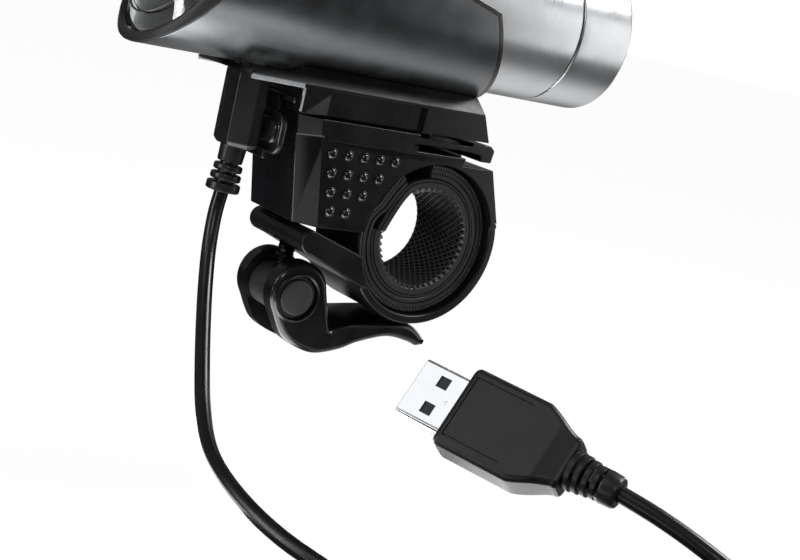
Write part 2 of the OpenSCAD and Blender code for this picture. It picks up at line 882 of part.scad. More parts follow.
// Emitter with its dome
module led_emitter() {
    color("#f2d94a")
    translate([tube_front + led_board_t, 0, lamp_z])
        rotate([0, 90, 0]) {
            linear_extrude(led_base_t) square(led_size, center = true);
            translate([0, 0, led_base_t])
                difference() {
                    sphere(led_dome_r);
                    translate([0, 0, -led_dome_r]) cube(2 * led_dome_r, center = true);
                }
        }
}

// Aluminium slug that takes the emitter's heat to the tube
module heat_sink() {
    color("#aeb2b5")
    difference() {
        rod_x(tube_front - heat_sink_l, tube_front, tube_in - seat);
        for (y = [-wire_y, wire_y])
            translate([0, y, lamp_z]) rotate([0, 90, 0]) cylinder(h = through, r = wire_r + run);
    }
}

// Two wires from the driver to the emitter's board
module led_wires() {
    color("#b03030")
    for (y = [-wire_y, wire_y])
        translate([driver_x + driver_t, y, lamp_z]) rotate([0, 90, 0])
            cylinder(h = tube_front + led_board_t - driver_x - driver_t, r = wire_r);
}

// Driver circuit board
module driver_board() {
    color("#1f5a34")
    rod_x(driver_x, driver_x + driver_t, tube_in - seat);
}

// Front contact on the driver board
module front_contact() {
    color("#d2a94f")
    rod_x(cell_front, driver_x, contact_r);
}

// Moulded carrier that centres the cell
module cell_carrier() {
    color("#17181a")
    difference() {
        tube_x(carrier_back, cell_front, tube_in - seat, cell_r + run);
        translate([button_x, 0, lamp_z + pocket_floor]) cylinder(h = through, r = pocket_r);
    }
}

// Rechargeable cell
module cell() {
    color("#2f6fb3")
    rod_x(cell_back, cell_front, cell_r);
}

// Small board under the power button
module switch_board() {
    color("#1f5a34")
    translate([button_x, 0, lamp_z + pocket_floor]) cylinder(h = switch_board_t, r = pocket_r - pass);
}

// Push switch on its board
module tact_switch() {
    color("#c0c3c5")
    translate([button_x, 0, lamp_z + switch_z])
        linear_extrude(switch_t) square(switch_size, center = true);
}

// Rubber power button in the top of the tube
module power_button() {
    rise = tube_r + button_rise - button_flange_z;
    color("#191a1b")
    translate([button_x, 0, lamp_z + button_flange_z]) {
        cylinder(h = button_flange_t, r = button_d / 2 + button_flange);
        cylinder(h = rise - button_edge, r = button_d / 2 - run);
        translate([0, 0, rise - button_edge])
            cylinder(h = button_edge, r1 = button_d / 2 - run, r2 = button_d / 2 - button_taper);
    }
}

// Seal ring in the tail groove
module tail_seal() {
    color("#111213")
    tube_x(tail_front + run, groove_x - run, tube_r - tail_seal_sink, tube_in + run);
}

// Screwed tail cap with its threaded spigot
module tail_cap() {
    color("#c9ccce")
    translate([0, 0, lamp_z])
        rotate([0, 90, 0])
            rotate_extrude()
                polygon([[0, tail_back], [tube_r - tail_edge, tail_back], [tube_r, tail_back + tail_edge],
                         [tube_r, tail_front], [tube_in - run, tail_front],
                         [tube_in - run, groove_x + spigot_l],
                         [tube_in - run - spigot_wall, groove_x + spigot_l],
                         [tube_in - run - spigot_wall, tail_back + tail_wall],
                         [0, tail_back + tail_wall]]);
}

// Contact spring in the tail cap, drawn as its outer shape
module tail_spring() {
    color("#b8babc")
    translate([tail_back + tail_wall, 0, lamp_z]) rotate([0, 90, 0])
        cylinder(h = cell_back - run - tail_back - tail_wall, r1 = cell_r - spring_inset,
                 r2 = contact_r + spring_inset);
}

// Rubber flap that closes the charging socket, hanging open
module dust_flap() {
    front = shoe_front + flap_nose + flap_stand;
    color("#1b1c1d")
    union() {
        rod_y(flap_x, flap_z, flap_w, flap_bead_r);
        translate([flap_x, -flap_w / 2, flap_z - flap_neck_t / 2])
            cube([front + flap_t - flap_x, flap_w, flap_neck_t]);
        translate([front, -flap_w / 2, flap_z + flap_neck_t / 2 - flap_l])
            cube([flap_t, flap_w, flap_l]);
        translate([front + flap_t, -flap_boss[0] / 2, flap_z - flap_l + flap_boss_lift])
            cube([flap_boss[2], flap_boss[0], flap_boss[1]]);
        translate([front, -flap_tab[0] / 2, flap_z + flap_neck_t / 2 - flap_l - flap_tab[1]])
            cube([flap_t, flap_tab[0], flap_tab[1] + over]);
    }
}

// Moulded body of the charging plug
module charging_plug() {
    color("#161718")
    difference() {
        translate([plug_x, 0, plug_bottom])
            linear_extrude(plug_l) cut_rectangle([plug_t, plug_w], plug_edge);
        translate([plug_x + plug_t / 2 - panel_depth, -plug_w / 2 + panel_side, plug_bottom + panel_foot])
            cube([over, plug_w - 2 * panel_side, plug_l - panel_foot - panel_head]);
    }
}

// Metal tip of the charging plug, in the socket
module charging_tip() {
    outer = socket_size - 2 * (socket_wall + tip_gap) * [1, 1];
    color("#c3c6c8")
    translate([plug_x, 0, plug_top])
    difference() {
        linear_extrude(tip_l) square(outer, center = true);
        translate([0, 0, socket_mouth - plug_top])
            linear_extrude(tip_l) square(outer - 2 * tip_wall * [1, 1], center = true);
    }
}

// Ribbed strain relief below the charging plug
module charging_relief() {
    rib = relief_l / (2 * relief_ribs + relief_plain);
    color("#161718")
    difference() {
        translate(cord_start)
            rotate([0, -relief_lean, 0])
                union() {
                    cylinder(h = relief_l + over, r = relief_neck_r);
                    cylinder(h = rib, r = relief_flange_r);
                    for (i = [1 : relief_ribs])
                        translate([0, 0, 2 * i * rib]) cylinder(h = rib, r = relief_r + relief_growth * i);
                }
        translate([0, -through / 2, plug_bottom]) cube(through);
    }
}

// Charging cord, swept along its route
module charging_cord() {
    line = smooth_line(cord_route, cord_steps);
    count = len(line);
    first = [sin(relief_lean), 0, -cos(relief_lean)];
    function way(i) = let (d = line[min(i + 1, count - 1)] - line[max(i - 1, 0)])
        i == 0 ? first : d / norm(d);
    function across(i) = let (d = cross(way(i), [1, 1, 0])) d / norm(d);
    function ring(i) = let (u = across(i), v = cross(way(i), u))
        [for (k = [0 : cord_sides - 1]) let (a = 360 * k / cord_sides)
            line[i] + cord_d / 2 * (u * cos(a) + v * sin(a))];
    n = cord_sides;
    points = [for (i = [0 : count - 1]) each ring(i)];
    walls = [for (i = [0 : count - 2], k = [0 : n - 1], half = [0, 1])
        let (a = i * n + k, b = i * n + (k + 1) % n)
            half == 0 ? [a, a + n, b] : [b, a + n, b + n]];
    first_end = [for (k = [1 : n - 2]) [0, k, k + 1]];
    last_end = [for (k = [1 : n - 2]) let (s = (count - 1) * n) [s, s + k + 1, s + k]];
    color("#18191a")
    polyhedron(points, concat(walls, first_end, last_end));
}

// Shapes on the power plug's own axis, from the cord's end
module on_power_plug(x) {
    translate(cord_end) rotate(power_turn) translate([x, 0, 0]) children();
}

// Ribbed strain relief of the power plug
module power_relief() {
    rib = power_relief_l / (2 * power_relief_ribs);
    color("#161718")
    on_power_plug(0)
        rotate([0, 90, 0]) {
            cylinder(h = power_relief_l, r = power_relief_r[0] - power_relief_groove);
            for (i = [0 : power_relief_ribs - 1])
                translate([0, 0, 2 * i * rib + rib / 2])
                    cylinder(h = rib, r = power_relief_r[0]
                             + (power_relief_r[1] - power_relief_r[0]) * i / (power_relief_ribs - 1));
        }
}

// Moulded body of the power plug, narrowed towards the cord
module power_body() {
    half = power_body_w / 2;
    neck = power_neck_w / 2;
    color("#161718")
    on_power_plug(power_relief_l)
        difference() {
            intersection() {
                linear_extrude(power_body_t, center = true)
                    polygon([[0, -neck], [power_shoulder, -half], [power_body_l - power_body_edge, -half],
                             [power_body_l, power_body_edge - half], [power_body_l, half - power_body_edge],
                             [power_body_l - power_body_edge, half], [power_shoulder, half], [0, neck]]);
                rotate([90, 0, 90])
                    linear_extrude(power_body_l)
                        cut_rectangle([power_body_w, power_body_t], power_body_edge);
            }
            translate([power_body_l - power_shell_seat, -power_shell_w / 2 - seat, -power_shell_t / 2 - seat])
                cube([through, power_shell_w + 2 * seat, power_shell_t + 2 * seat]);
        }
}

// Metal shell of the power plug
module power_shell() {
    inside = power_shell_wall;
    color("#c3c6c8")
    on_power_plug(power_relief_l + power_body_l - power_shell_seat)
        difference() {
            translate([0, -power_shell_w / 2, -power_shell_t / 2])
                cube([power_shell_seat + power_shell_l, power_shell_w, power_shell_t]);
            translate([inside, inside - power_shell_w / 2, inside - power_shell_t / 2])
                cube([through, power_shell_w - 2 * inside, power_shell_t - 2 * inside]);
            for (y = [-power_hole_y, power_hole_y])
                translate([power_shell_seat + power_hole_x, y - power_hole / 2, -through / 2])
                    cube([power_hole, power_hole, through]);
        }
}

// Insulating tongue in the power plug's shell
module power_tongue() {
    inside = power_shell_wall;
    color("#232426")
    on_power_plug(power_relief_l + power_body_l - power_shell_seat)
        translate([inside, inside - power_shell_w / 2, inside - power_shell_t / 2])
            cube([power_shell_seat + power_shell_l - power_tongue_inset - inside,
                  power_shell_w - 2 * inside, power_tongue_t]);
}

// Four gold contacts on the tongue
module power_contacts() {
    color("#d2a94f")
    on_power_plug(power_relief_l + power_body_l + power_shell_l
                  - power_tongue_inset - contact_l - contact_inset)
        for (i = [0 : contact_count - 1])
            translate([0, (i - (contact_count - 1) / 2) * contact_pitch - contact_w / 2,
                       power_shell_wall - power_shell_t / 2 + power_tongue_t])
                cube([contact_l, contact_w, contact_t]);
}

bracket_body();
inner_pad();
outer_pad();
clamp_nut();
clamp_bolt();
barrel_pin();
clamp_jaw();
cam_lever();
release_latch();
lamp_shoe();
shoe_screws();
charging_socket();
socket_tongue();
charging_board();
head_sleeve();
sleeve_trim();
body_tube();
bezel();
lens();
lens_seal();
reflector();
led_board();
led_emitter();
heat_sink();
led_wires();
driver_board();
front_contact();
cell_carrier();
cell();
switch_board();
tact_switch();
power_button();
tail_seal();
tail_cap();
tail_spring();
dust_flap();
charging_plug();
charging_tip();
charging_relief();
charging_cord();
power_relief();
power_body();
power_shell();
power_tongue();
power_contacts();
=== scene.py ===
from math import atan2, cos, hypot, pi, radians, sin, sqrt, tan

import bmesh
import bpy
from mathutils import Euler, Matrix, Vector


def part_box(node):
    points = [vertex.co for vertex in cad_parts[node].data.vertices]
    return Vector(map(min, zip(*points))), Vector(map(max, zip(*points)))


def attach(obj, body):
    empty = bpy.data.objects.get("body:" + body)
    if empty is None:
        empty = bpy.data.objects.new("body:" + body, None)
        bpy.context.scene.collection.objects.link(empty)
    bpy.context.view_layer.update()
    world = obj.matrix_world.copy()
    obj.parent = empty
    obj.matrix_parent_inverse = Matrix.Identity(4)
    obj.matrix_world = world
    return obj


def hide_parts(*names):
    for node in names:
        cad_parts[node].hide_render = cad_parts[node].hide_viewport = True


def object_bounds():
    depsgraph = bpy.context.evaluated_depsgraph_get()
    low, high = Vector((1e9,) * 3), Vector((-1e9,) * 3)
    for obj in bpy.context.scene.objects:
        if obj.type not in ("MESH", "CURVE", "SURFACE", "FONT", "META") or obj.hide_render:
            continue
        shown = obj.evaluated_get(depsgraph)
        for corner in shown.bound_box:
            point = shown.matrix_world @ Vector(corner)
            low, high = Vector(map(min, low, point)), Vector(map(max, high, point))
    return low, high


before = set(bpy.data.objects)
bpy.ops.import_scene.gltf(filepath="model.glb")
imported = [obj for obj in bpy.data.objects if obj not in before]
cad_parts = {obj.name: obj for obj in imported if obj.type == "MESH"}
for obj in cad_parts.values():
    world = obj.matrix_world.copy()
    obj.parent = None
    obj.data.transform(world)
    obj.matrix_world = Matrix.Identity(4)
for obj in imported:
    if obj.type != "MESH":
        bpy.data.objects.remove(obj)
cad_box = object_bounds()


# Camera: it stands in front of the lamp on the rider's left, level with the lamp, and looks back
# and down at the clamp. The long lens keeps the tube's sides nearly parallel.
def linked(name, data):
    """New object in the scene."""
    made = bpy.data.objects.new(name, data)
    scene.collection.objects.link(made)
    return made


mm = 0.001
scene = bpy.context.scene
scene.view_settings.view_transform = "Standard"
camera_place = Vector((209.95, 278.31, 53.62)) * mm
camera_right = Vector((-0.7985, 0.5597, 0.2218)).normalized()
camera_up = Vector((0.598, 0.780, 0.1847)).cross(camera_right).normalized()
camera_turn = Matrix((camera_right, camera_up, camera_right.cross(camera_up))).transposed()
camera_data = bpy.data.cameras.new("studio_camera")
camera_data.sensor_width = 36
camera_data.lens = 67.5
camera = linked("studio_camera", camera_data)
camera.matrix_world = Matrix.Translation(camera_place) @ camera_turn.to_4x4()
scene.camera = camera


# Studio: a pale floor clear of the cord even when the plug is pulled, a white surround for the background,
# and soft boxes round the object. In reflections the floor glows with a painted pool of light in the dark,
# fading to painted shade round it.
def linear(code):
    """Linear colour of an sRGB hex code."""
    parts = [int(code[i:i + 2], 16) / 255 for i in (1, 3, 5)]
    return (*[p / 12.92 if p <= 0.04045 else ((p + 0.055) / 1.055) ** 2.4 for p in parts], 1)


def add_node(tree, kind, inputs=None, **settings):
    """Adds a node with its settings, and sets its inputs or links them to a socket or a node."""
    made = tree.nodes.new(kind if "Node" in kind else "ShaderNode" + kind)
    for name, value in settings.items():
        setattr(made, name, value)
    for socket, value in (inputs or {}).items():
        if isinstance(value, bpy.types.Node):
            value = value.outputs[0]
        if isinstance(value, bpy.types.NodeSocket):
            tree.links.new(value, made.inputs[socket])
        else:
            made.inputs[socket].default_value = value
    return made


def new_material(name):
    """An empty node material, its tree and its object coordinates."""
    material = bpy.data.materials.new(name)
    material.use_nodes = True
    tree = material.node_tree
    tree.nodes.clear()
    return material, tree, add_node(tree, "TexCoord").outputs["Object"]


floor_drop = 10 * mm
floor_reach = 12
floor_white = 0.95
# Painted light seen in the floor's reflections: a glowing pool at the pool level, fading to a painted shade
# level, and dimmed further behind, to one side and far off.
pool_edge, pool_slope, pool_rim = 0.132, 0.42, 0.085
pool_back, pool_fade = -0.03, 0.12
pool_level, painted_shade_level, back_share = 1.15, 0.18, 0.2
pool_side, pool_turn, side_share = -0.02, 0.03, 0.08
far_from, far_to, far_share = 0.12, 0.2, 0.25
sky_level, room_level, lens_level = 0.45, 0.2, 0.8
white = (1, 1, 1, 1)
soft_boxes = [("side_box", (-0.308, 0.17, 0.055), (-0.308, 0, 0.055), (0.34, 0.21), 0.45),
    ("low_box", (0.185, 0.1, -0.056), (0.185, 0.1, 0), (0.16, 0.12), 0.11),
    ("under_box", (0.06, 0.01, -0.056), (0.06, 0.01, 0), (0.08, 0.07), 0.13),
    ("plug_box", (0.012, 0.07, -0.056), (0.012, 0.07, 0), (0.04, 0.04), 0.012),
    ("left_box", (0.45, -0.04, 0.05), (0.03, 0, 0.02), (0.05, 0.4), 0.9),
    ("rim_box", (-0.34, 0.25, 0.46), (0, 0, 0.02), (0.14, 0.14), 1.1),
    ("back_box", (-0.45, -0.12, 0.0), (0, 0, 0), (0.12, 0.3), 0.7),
    ("front_box", (0.36, 0.065, 0.355), (0.03, 0.08, -0.02), (0.25, 0.25), 0.24),
    ("top_box", (-0.36, 0.12, 0.5), (0, 0, 0.02), (0.26, 0.26), 3.0),
    ("key_box", (0.35, 0.5, 0.35), (0, 0, 0), (0.08, 0.08), 0.5)]
paper_and_painted_pool, tree, place = new_material("white_paper_painted_pool")
split = add_node(tree, "SeparateXYZ", {0: place})
slant = add_node(tree, "Math", {0: split.outputs["X"], 1: -pool_slope, 2: split.outputs["Y"]},
    operation="MULTIPLY_ADD")
pool = 1.0
for value, low, high, first, last in ((slant, pool_edge - pool_rim, pool_edge, pool_level, painted_shade_level),
        (split.outputs["Y"], pool_back - pool_fade, pool_back, back_share, 1.0),
        (split.outputs["X"], pool_side, pool_side + pool_turn, 1.0, side_share),
        (split.outputs["Y"], far_from, far_to, 1.0, far_share)):
    step = add_node(tree, "MapRange", {"Value": value, "From Min": low, "From Max": high, "To Min": first,
        "To Max": last}, interpolation_type="SMOOTHSTEP")
    pool = add_node(tree, "Math", {0: step, 1: pool}, operation="MULTIPLY")
rays = add_node(tree, "LightPath")
share = add_node(tree, "Math", {0: rays.outputs["Is Camera Ray"], 1: floor_white}, operation="MULTIPLY")
fibre = add_node(tree, "TexNoise", {"Vector": place, "Scale": 1 / (0.6 * mm), "Detail": 2.0})
tint = add_node(tree, "Mix", {"Factor": fibre, "A": linear("#fafafa"), "B": linear("#ffffff")},
    data_type="RGBA")
mixed = add_node(tree, "BsdfDiffuse", {"Color": tint.outputs["Result"]})
# Glossy rays see the painted pool of light and shade, while transmission and camera rays see the floor
# glowing white.
for ray, colour, level in ((rays.outputs["Is Glossy Ray"], pool, 1.0),
        (rays.outputs["Is Transmission Ray"], white, lens_level), (share, white, 1.0)):
    shown = add_node(tree, "Emission", {"Color": colour, "Strength": level})
    mixed = add_node(tree, "MixShader", {0: ray, 1: mixed, 2: shown})
add_node(tree, "OutputMaterial", {"Surface": mixed})
floor_mesh = bpy.data.meshes.new("floor")
floor_z = cad_box[0].z - floor_drop
floor_mesh.from_pydata([(x * floor_reach, y * floor_reach, floor_z)
    for x, y in ((-1, -1), (1, -1), (1, 1), (-1, 1))], [], [(0, 1, 2, 3)])
floor_mesh.materials.append(paper_and_painted_pool)
floor = linked("floor", floor_mesh)

world = bpy.data.worlds.new("studio")
scene.world = world
world.use_nodes = True
tree = world.node_tree
tree.nodes.clear()
rays = add_node(tree, "LightPath")
mixed = add_node(tree, "Background", {"Color": white, "Strength": sky_level})
for ray, level in (("Is Glossy Ray", room_level), ("Is Transmission Ray", lens_level),
        ("Is Camera Ray", 1.0)):
    shown = add_node(tree, "Background", {"Color": white, "Strength": level})
    mixed = add_node(tree, "MixShader", {0: rays.outputs[ray], 1: mixed, 2: shown})
add_node(tree, "OutputWorld", {"Surface": mixed})
for name, place, target, size, power in soft_boxes:
    lamp_data = bpy.data.lights.new(name, "AREA")
    lamp_data.shape = "RECTANGLE"
    lamp_data.size, lamp_data.size_y = size
    lamp_data.energy = power
    lamp = linked(name, lamp_data)
    aim = (Vector(place) - Vector(target)).to_track_quat("Z", "Y")
    lamp.matrix_world = Matrix.Translation(place) @ aim.to_matrix().to_4x4()
    lamp.visible_camera = False


# Charging cord: a round soft-plastic jacket over the leads, extruded in one length. It leaves the
# charging plug downwards, hangs in a wide loop and climbs to the power plug.
def moulded(name, colour, light_colour, roughness, grain, depth, shine=0.35, metal=0.0):
    """Moulded plastic or rubber: spark-eroded grain, uneven colour and gloss. Sizes in mm."""
    material, tree, place = new_material(name)
    cloud = add_node(tree, "TexNoise", {"Vector": place, "Scale": 1 / (7 * mm), "Detail": 3.0})
    texture = add_node(tree, "TexNoise", {"Vector": place, "Scale": 1 / (grain * mm), "Detail": 3.0,
        "Roughness": 0.6})
    mottle = add_node(tree, "Math", {0: cloud, 1: texture}, operation="MULTIPLY")
    tint = add_node(tree, "MapRange", {"Value": mottle, "From Min": 0.12, "From Max": 0.45})
    shade = add_node(tree, "Mix", {"Factor": tint, "A": linear(colour), "B": linear(light_colour)},
        data_type="RGBA")
    gloss = add_node(tree, "MapRange", {"Value": cloud, "From Min": 0.3, "From Max": 0.7,
        "To Min": roughness - 0.04, "To Max": roughness + 0.05})
    bump = add_node(tree, "Bump", {"Height": texture, "Distance": depth * mm})
    shader = add_node(tree, "BsdfPrincipled", {"Base Color": shade.outputs["Result"], "Roughness": gloss,
        "Normal": bump, "IOR": 1.5, "Specular IOR Level": shine, "Metallic": metal})
    add_node(tree, "OutputMaterial", {"Surface": shader})
    return material


def through_points(points, steps):
    """Points of a smooth line through a list of points."""
    points = [Vector(p) for p in points]
    made = []
    for i in range(len(points) - 1):
        p0, p1 = points[max(i - 1, 0)], points[i]
        p2, p3 = points[i + 1], points[min(i + 2, len(points) - 1)]
        for t in (k / steps for k in range(steps)):
            made.append(p1 + t / 2 * (p2 - p0 + t * (2 * p0 - 5 * p1 + 4 * p2 - p3
                + t * (3 * p1 - p0 - 3 * p2 + p3))))
    return made + [points[-1]]


cord_d = 3.2 * mm
plug_axis_x = 48.4
plug_bottom = 14.0
relief_l = 10
relief_lean = radians(4)
cord_start = Vector((plug_axis_x + relief_l * sin(relief_lean), 0,
    plug_bottom - relief_l * cos(relief_lean))) * mm
cord_end = Vector((18.6, 104.9, -22.6)) * mm
cord_route = [(49.8, 0.4, -1), (51, 2.8, -7.5), (52.8, 7.4, -14), (55.2, 13.8, -20.5), (58.3, 22.2, -27.5),
    (61.3, 31, -34), (63.6, 40, -39), (64, 48.5, -42), (62.8, 57.5, -44.6), (60.5, 66.5, -46.6),
    (57.2, 75.5, -48), (53, 84.5, -49.6), (47.5, 92.5, -52), (40, 100, -54.8), (31, 108, -57),
    (22, 115.5, -57.4), (13.5, 122.5, -55.4), (7, 129, -51.2), (3, 133, -45.5), (2.5, 134, -39),
    (4.5, 132, -34), (8.3, 126.7, -29.3), (12.2, 119.5, -26.1), (15.5, 112.2, -24)]
cord_line = through_points([cord_start] + [Vector(p) * mm for p in cord_route] + [cord_end], 8)
# Soft PVC, extruded: a smooth jacket with a long soft highlight along it
cord_jacket = moulded("soft_pvc_jacket", "#070708", "#0b0b0c", 0.25, 0.8, 0.003)
cord_curve = bpy.data.curves.new("charging_cord_jacket", "CURVE")
cord_curve.dimensions = "3D"
cord_curve.bevel_depth = cord_d / 2
cord_curve.bevel_resolution = 6
cord_curve.use_fill_caps = True
spline = cord_curve.splines.new("POLY")
spline.points.add(len(cord_line) - 1)
for knot, point in zip(spline.points, cord_line):
    knot.co = (*point, 1)
cord_curve.materials.append(cord_jacket)
cord = linked("charging_cord_jacket", cord_curve)
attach(cord, "lead")
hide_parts("charging_cord")


# Power plug: a soft moulded grip with a framed face, its ribbed strain relief, and a folded
# nickel-plated shell round an insulating tongue with four contacts.
def to_mesh(shape):
    """Mesh of a finished shape."""
    mesh = bpy.data.meshes.new("shape")
    shape.to_mesh(mesh)
    shape.free()
    return mesh


def plain_mesh(points, faces):
    """Closed mesh with merged doubles and outward faces."""
    shape = bmesh.new()
    corners = [shape.verts.new(p) for p in points]
    for face in faces:
        shape.faces.new([corners[i] for i in face])
    bmesh.ops.remove_doubles(shape, verts=shape.verts, dist=1e-7)
    bmesh.ops.dissolve_degenerate(shape, edges=shape.edges, dist=1e-8)
    bmesh.ops.recalc_face_normals(shape, faces=shape.faces)
    return to_mesh(shape)


def place_piece(name, mesh, material, body, slot, *nodes):
    """Links a finished mesh as a piece that a body carries in place of CAD nodes."""
    mesh.name = name
    mesh.materials.clear()
    mesh.materials.append(material)
    mesh.shade_smooth()
    mesh.set_sharp_from_angle(angle=radians(32))
    piece = linked(name, mesh)
    even = piece.modifiers.new("even_faces", "WEIGHTED_NORMAL")
    even.keep_sharp = True
    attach(piece, body)
    if nodes:
        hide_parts(*nodes)
    return piece


def skin(rows, closed=False):
    """Points and faces of a skin over rows of equally many points, round each row."""
    count = len(rows[0])
    points = [p for row in rows for p in row]
    faces = [(i * count + k, i * count + (k + 1) % count, (i + 1) % len(rows) * count + (k + 1) % count,
        (i + 1) % len(rows) * count + k) for i in range(len(rows) - (not closed)) for k in range(count)]
    if not closed:
        faces += [tuple(range(count)), tuple(range(len(points) - count, len(points)))]
    return points, faces


def rounded_rectangle(half_w, half_h, radius, steps=6):
    """Points round a rectangle with rounded corners."""
    centres = [(half_w - radius, half_h - radius), (radius - half_w, half_h - radius),
        (radius - half_w, radius - half_h), (half_w - radius, radius - half_h)]
    return [(cx + radius * cos(a), cy + radius * sin(a)) for quarter, (cx, cy) in enumerate(centres)
        for a in (pi / 2 * (quarter + k / steps) for k in range(steps + 1))]


def cut_away(mesh, cutters):
    """Mesh with other closed meshes cut out of it."""
    body = linked("body", mesh)
    tools = []
    for cutter in cutters:
        tool = linked("tool", cutter)
        cut = body.modifiers.new("cut", "BOOLEAN")
        cut.object = tool
        cut.solver = "EXACT"
        tools.append(tool)
    made = bpy.data.meshes.new_from_object(body.evaluated_get(bpy.context.evaluated_depsgraph_get()))
    for used in tools + [body]:
        bpy.data.objects.remove(used)
    return made


metres = Matrix.Diagonal((mm, mm, mm, 1))


def turned(degrees, axis):
    """Turn about an axis through the origin."""
    return Matrix.Rotation(radians(degrees), 4, axis)


def block(low, high, turn=Matrix(), unit=mm):
    """Plain block between two corners, for a cut or a rib, in mm unless another unit is given."""
    points = [turn @ Vector((x * unit, y * unit, z * unit)) for z in (low[2], high[2])
        for x, y in ((low[0], low[1]), (high[0], low[1]), (high[0], high[1]), (low[0], high[1]))]
    return plain_mesh(points, [(0, 1, 2, 3), (4, 5, 6, 7), (0, 1, 5, 4), (1, 2, 6, 5), (2, 3, 7, 6),
        (3, 0, 4, 7)])


def spun(profile, turn, steps=64, closed=False):
    """Points and faces of a profile of (along, radius) pairs turned round the local x axis."""
    rows = [[turn @ Vector((x, r * cos(a), r * sin(a))) for a in (2 * pi * k / steps for k in range(steps))]
        for x, r in profile]
    return skin(rows, closed)


def joined(*meshes):
    """One mesh of several."""
    shape = bmesh.new()
    for mesh in meshes:
        shape.from_mesh(mesh)
    return to_mesh(shape)


power_turn = (Matrix.Translation(cord_end) @ Euler([radians(a)
    for a in (124.6, -5.8, -67)]).to_matrix().to_4x4() @ metres)
# PVC grip, moulded over the plug: black satin with a fine spark-eroded grain
plug_pvc = moulded("satin_pvc_grip", "#0c0d0e", "#131415", 0.34, 0.35, 0.01)
grip_back, grip_l, neck_w, grip_w, grip_t = 10, 25, 10.6, 17, 8
neck_t, grip_round = 6.6, 1.3
shoulder_from, shoulder_to = 1.2, 8.6
grip_rows = []
for x, shrink in ([(0, 0.7), (0.2, 0.3), (0.7, 0)] + [(0.7 + 0.5 * k, 0) for k in range(1, 18)]
        + [(grip_l - 1.3 * (1 - sin(a)), 1.3 * (1 - cos(a))) for a in (pi / 2 * k / 5 for k in range(6))]):
    t = min(max((x - shoulder_from) / (shoulder_to - shoulder_from), 0), 1)
    width = neck_w + (grip_w - neck_w) * (0.65 * t + 0.35 * t * t * (3 - 2 * t))
    deep = neck_t + (grip_t - neck_t) * min(t * 2.2, 1)
    ring = rounded_rectangle(width / 2 - shrink, deep / 2 - shrink, grip_round - shrink * 0.5)
    grip_rows.append([power_turn @ Vector((grip_back + x, y, z)) for y, z in ring])
frame_line = []
frame_w, frame_depth = 0.35, 0.3
frame_x = (grip_back + 11, grip_back + 23.2)
frame_y = 6.3
for side in (-1, 1):
    z0, z1 = sorted((side * (grip_t / 2 - frame_depth), side * (grip_t / 2 + 1)))
    frame_line += [block((frame_x[0], y - frame_w / 2, z0), (frame_x[1], y + frame_w / 2, z1), power_turn, 1)
        for y in (-frame_y, frame_y)]
    frame_line.append(block((frame_x[1], -frame_y - frame_w / 2, z0),
        (frame_x[1] + frame_w, frame_y + frame_w / 2, z1), power_turn, 1))
grip_mesh = cut_away(plain_mesh(*skin(grip_rows)), frame_line)
power_grip = place_piece("power_plug_grip", grip_mesh, plug_pvc, "lead", "plug_plastic", "power_body")

# Strain relief: discs joined by webs, so that it bends, ending in a rounded barrel at the cord
relief_core = 2.0
relief_discs = [(3.85, 1.2, 3.2), (5.5, 1.2, 3.45), (7.15, 1.2, 3.7), (8.75, 1.25, 3.95)]
relief_profile = [(0.05, 1.5), (0.05, 2.4), (0.25, 2.85), (0.7, 3.1), (2.9, 3.25), (3.3, 3.1), (3.4, 2.8),
    (3.4, relief_core)]
for x, wide, r in relief_discs:
    relief_profile += [(x, relief_core), (x, r - 0.2), (x + 0.15, r), (x + wide - 0.15, r),
        (x + wide, r - 0.2), (x + wide, relief_core)]
relief_profile += [(10.2, relief_core)]
relief_mesh = plain_mesh(*spun(relief_profile, power_turn, 48))
webs = []
for k, (x, wide, r) in enumerate(relief_discs):
    for side in (-1, 1):
        across = (1.1, 2.6) if k % 2 else (2.6, 1.1)
        centre = (0, side * (relief_core + 0.4)) if k % 2 else (side * (relief_core + 0.4), 0)
        webs.append(block((x - 1, centre[0] - across[1] / 2, centre[1] - across[0] / 2),
            (x + 0.1, centre[0] + across[1] / 2, centre[1] + across[0] / 2), power_turn, 1))
relief_mesh = joined(relief_mesh, *webs)
power_relief = place_piece("power_plug_relief", relief_mesh, plug_pvc, "lead", "plug_plastic", "power_relief")


def worked_metal(name, colour, roughness, lines, depth, cloud_size, stretch=(1, 1, 1)):
    """Bare or plated metal with fine working lines, which stretch along some axes. Sizes in mm."""
    material, tree, place = new_material(name)
    turn = add_node(tree, "Mapping", {"Vector": place, "Scale": stretch})
    score = add_node(tree, "TexNoise", {"Vector": turn, "Scale": 1 / (lines * mm), "Detail": 2.0})
    cloud = add_node(tree, "TexNoise", {"Vector": place, "Scale": 1 / (cloud_size * mm), "Detail": 3.0})
    gloss = add_node(tree, "Math", {0: score, 1: cloud}, operation="MULTIPLY")
    spread = add_node(tree, "MapRange", {"Value": gloss, "From Min": 0.1, "From Max": 0.4,
        "To Min": roughness - 0.05, "To Max": roughness + 0.07})
    bump = add_node(tree, "Bump", {"Height": score, "Distance": depth * mm})
    shader = add_node(tree, "BsdfPrincipled", {"Base Color": linear(colour), "Metallic": 1.0,
        "Roughness": spread, "Normal": bump})
    add_node(tree, "OutputMaterial", {"Surface": shader})
    return material


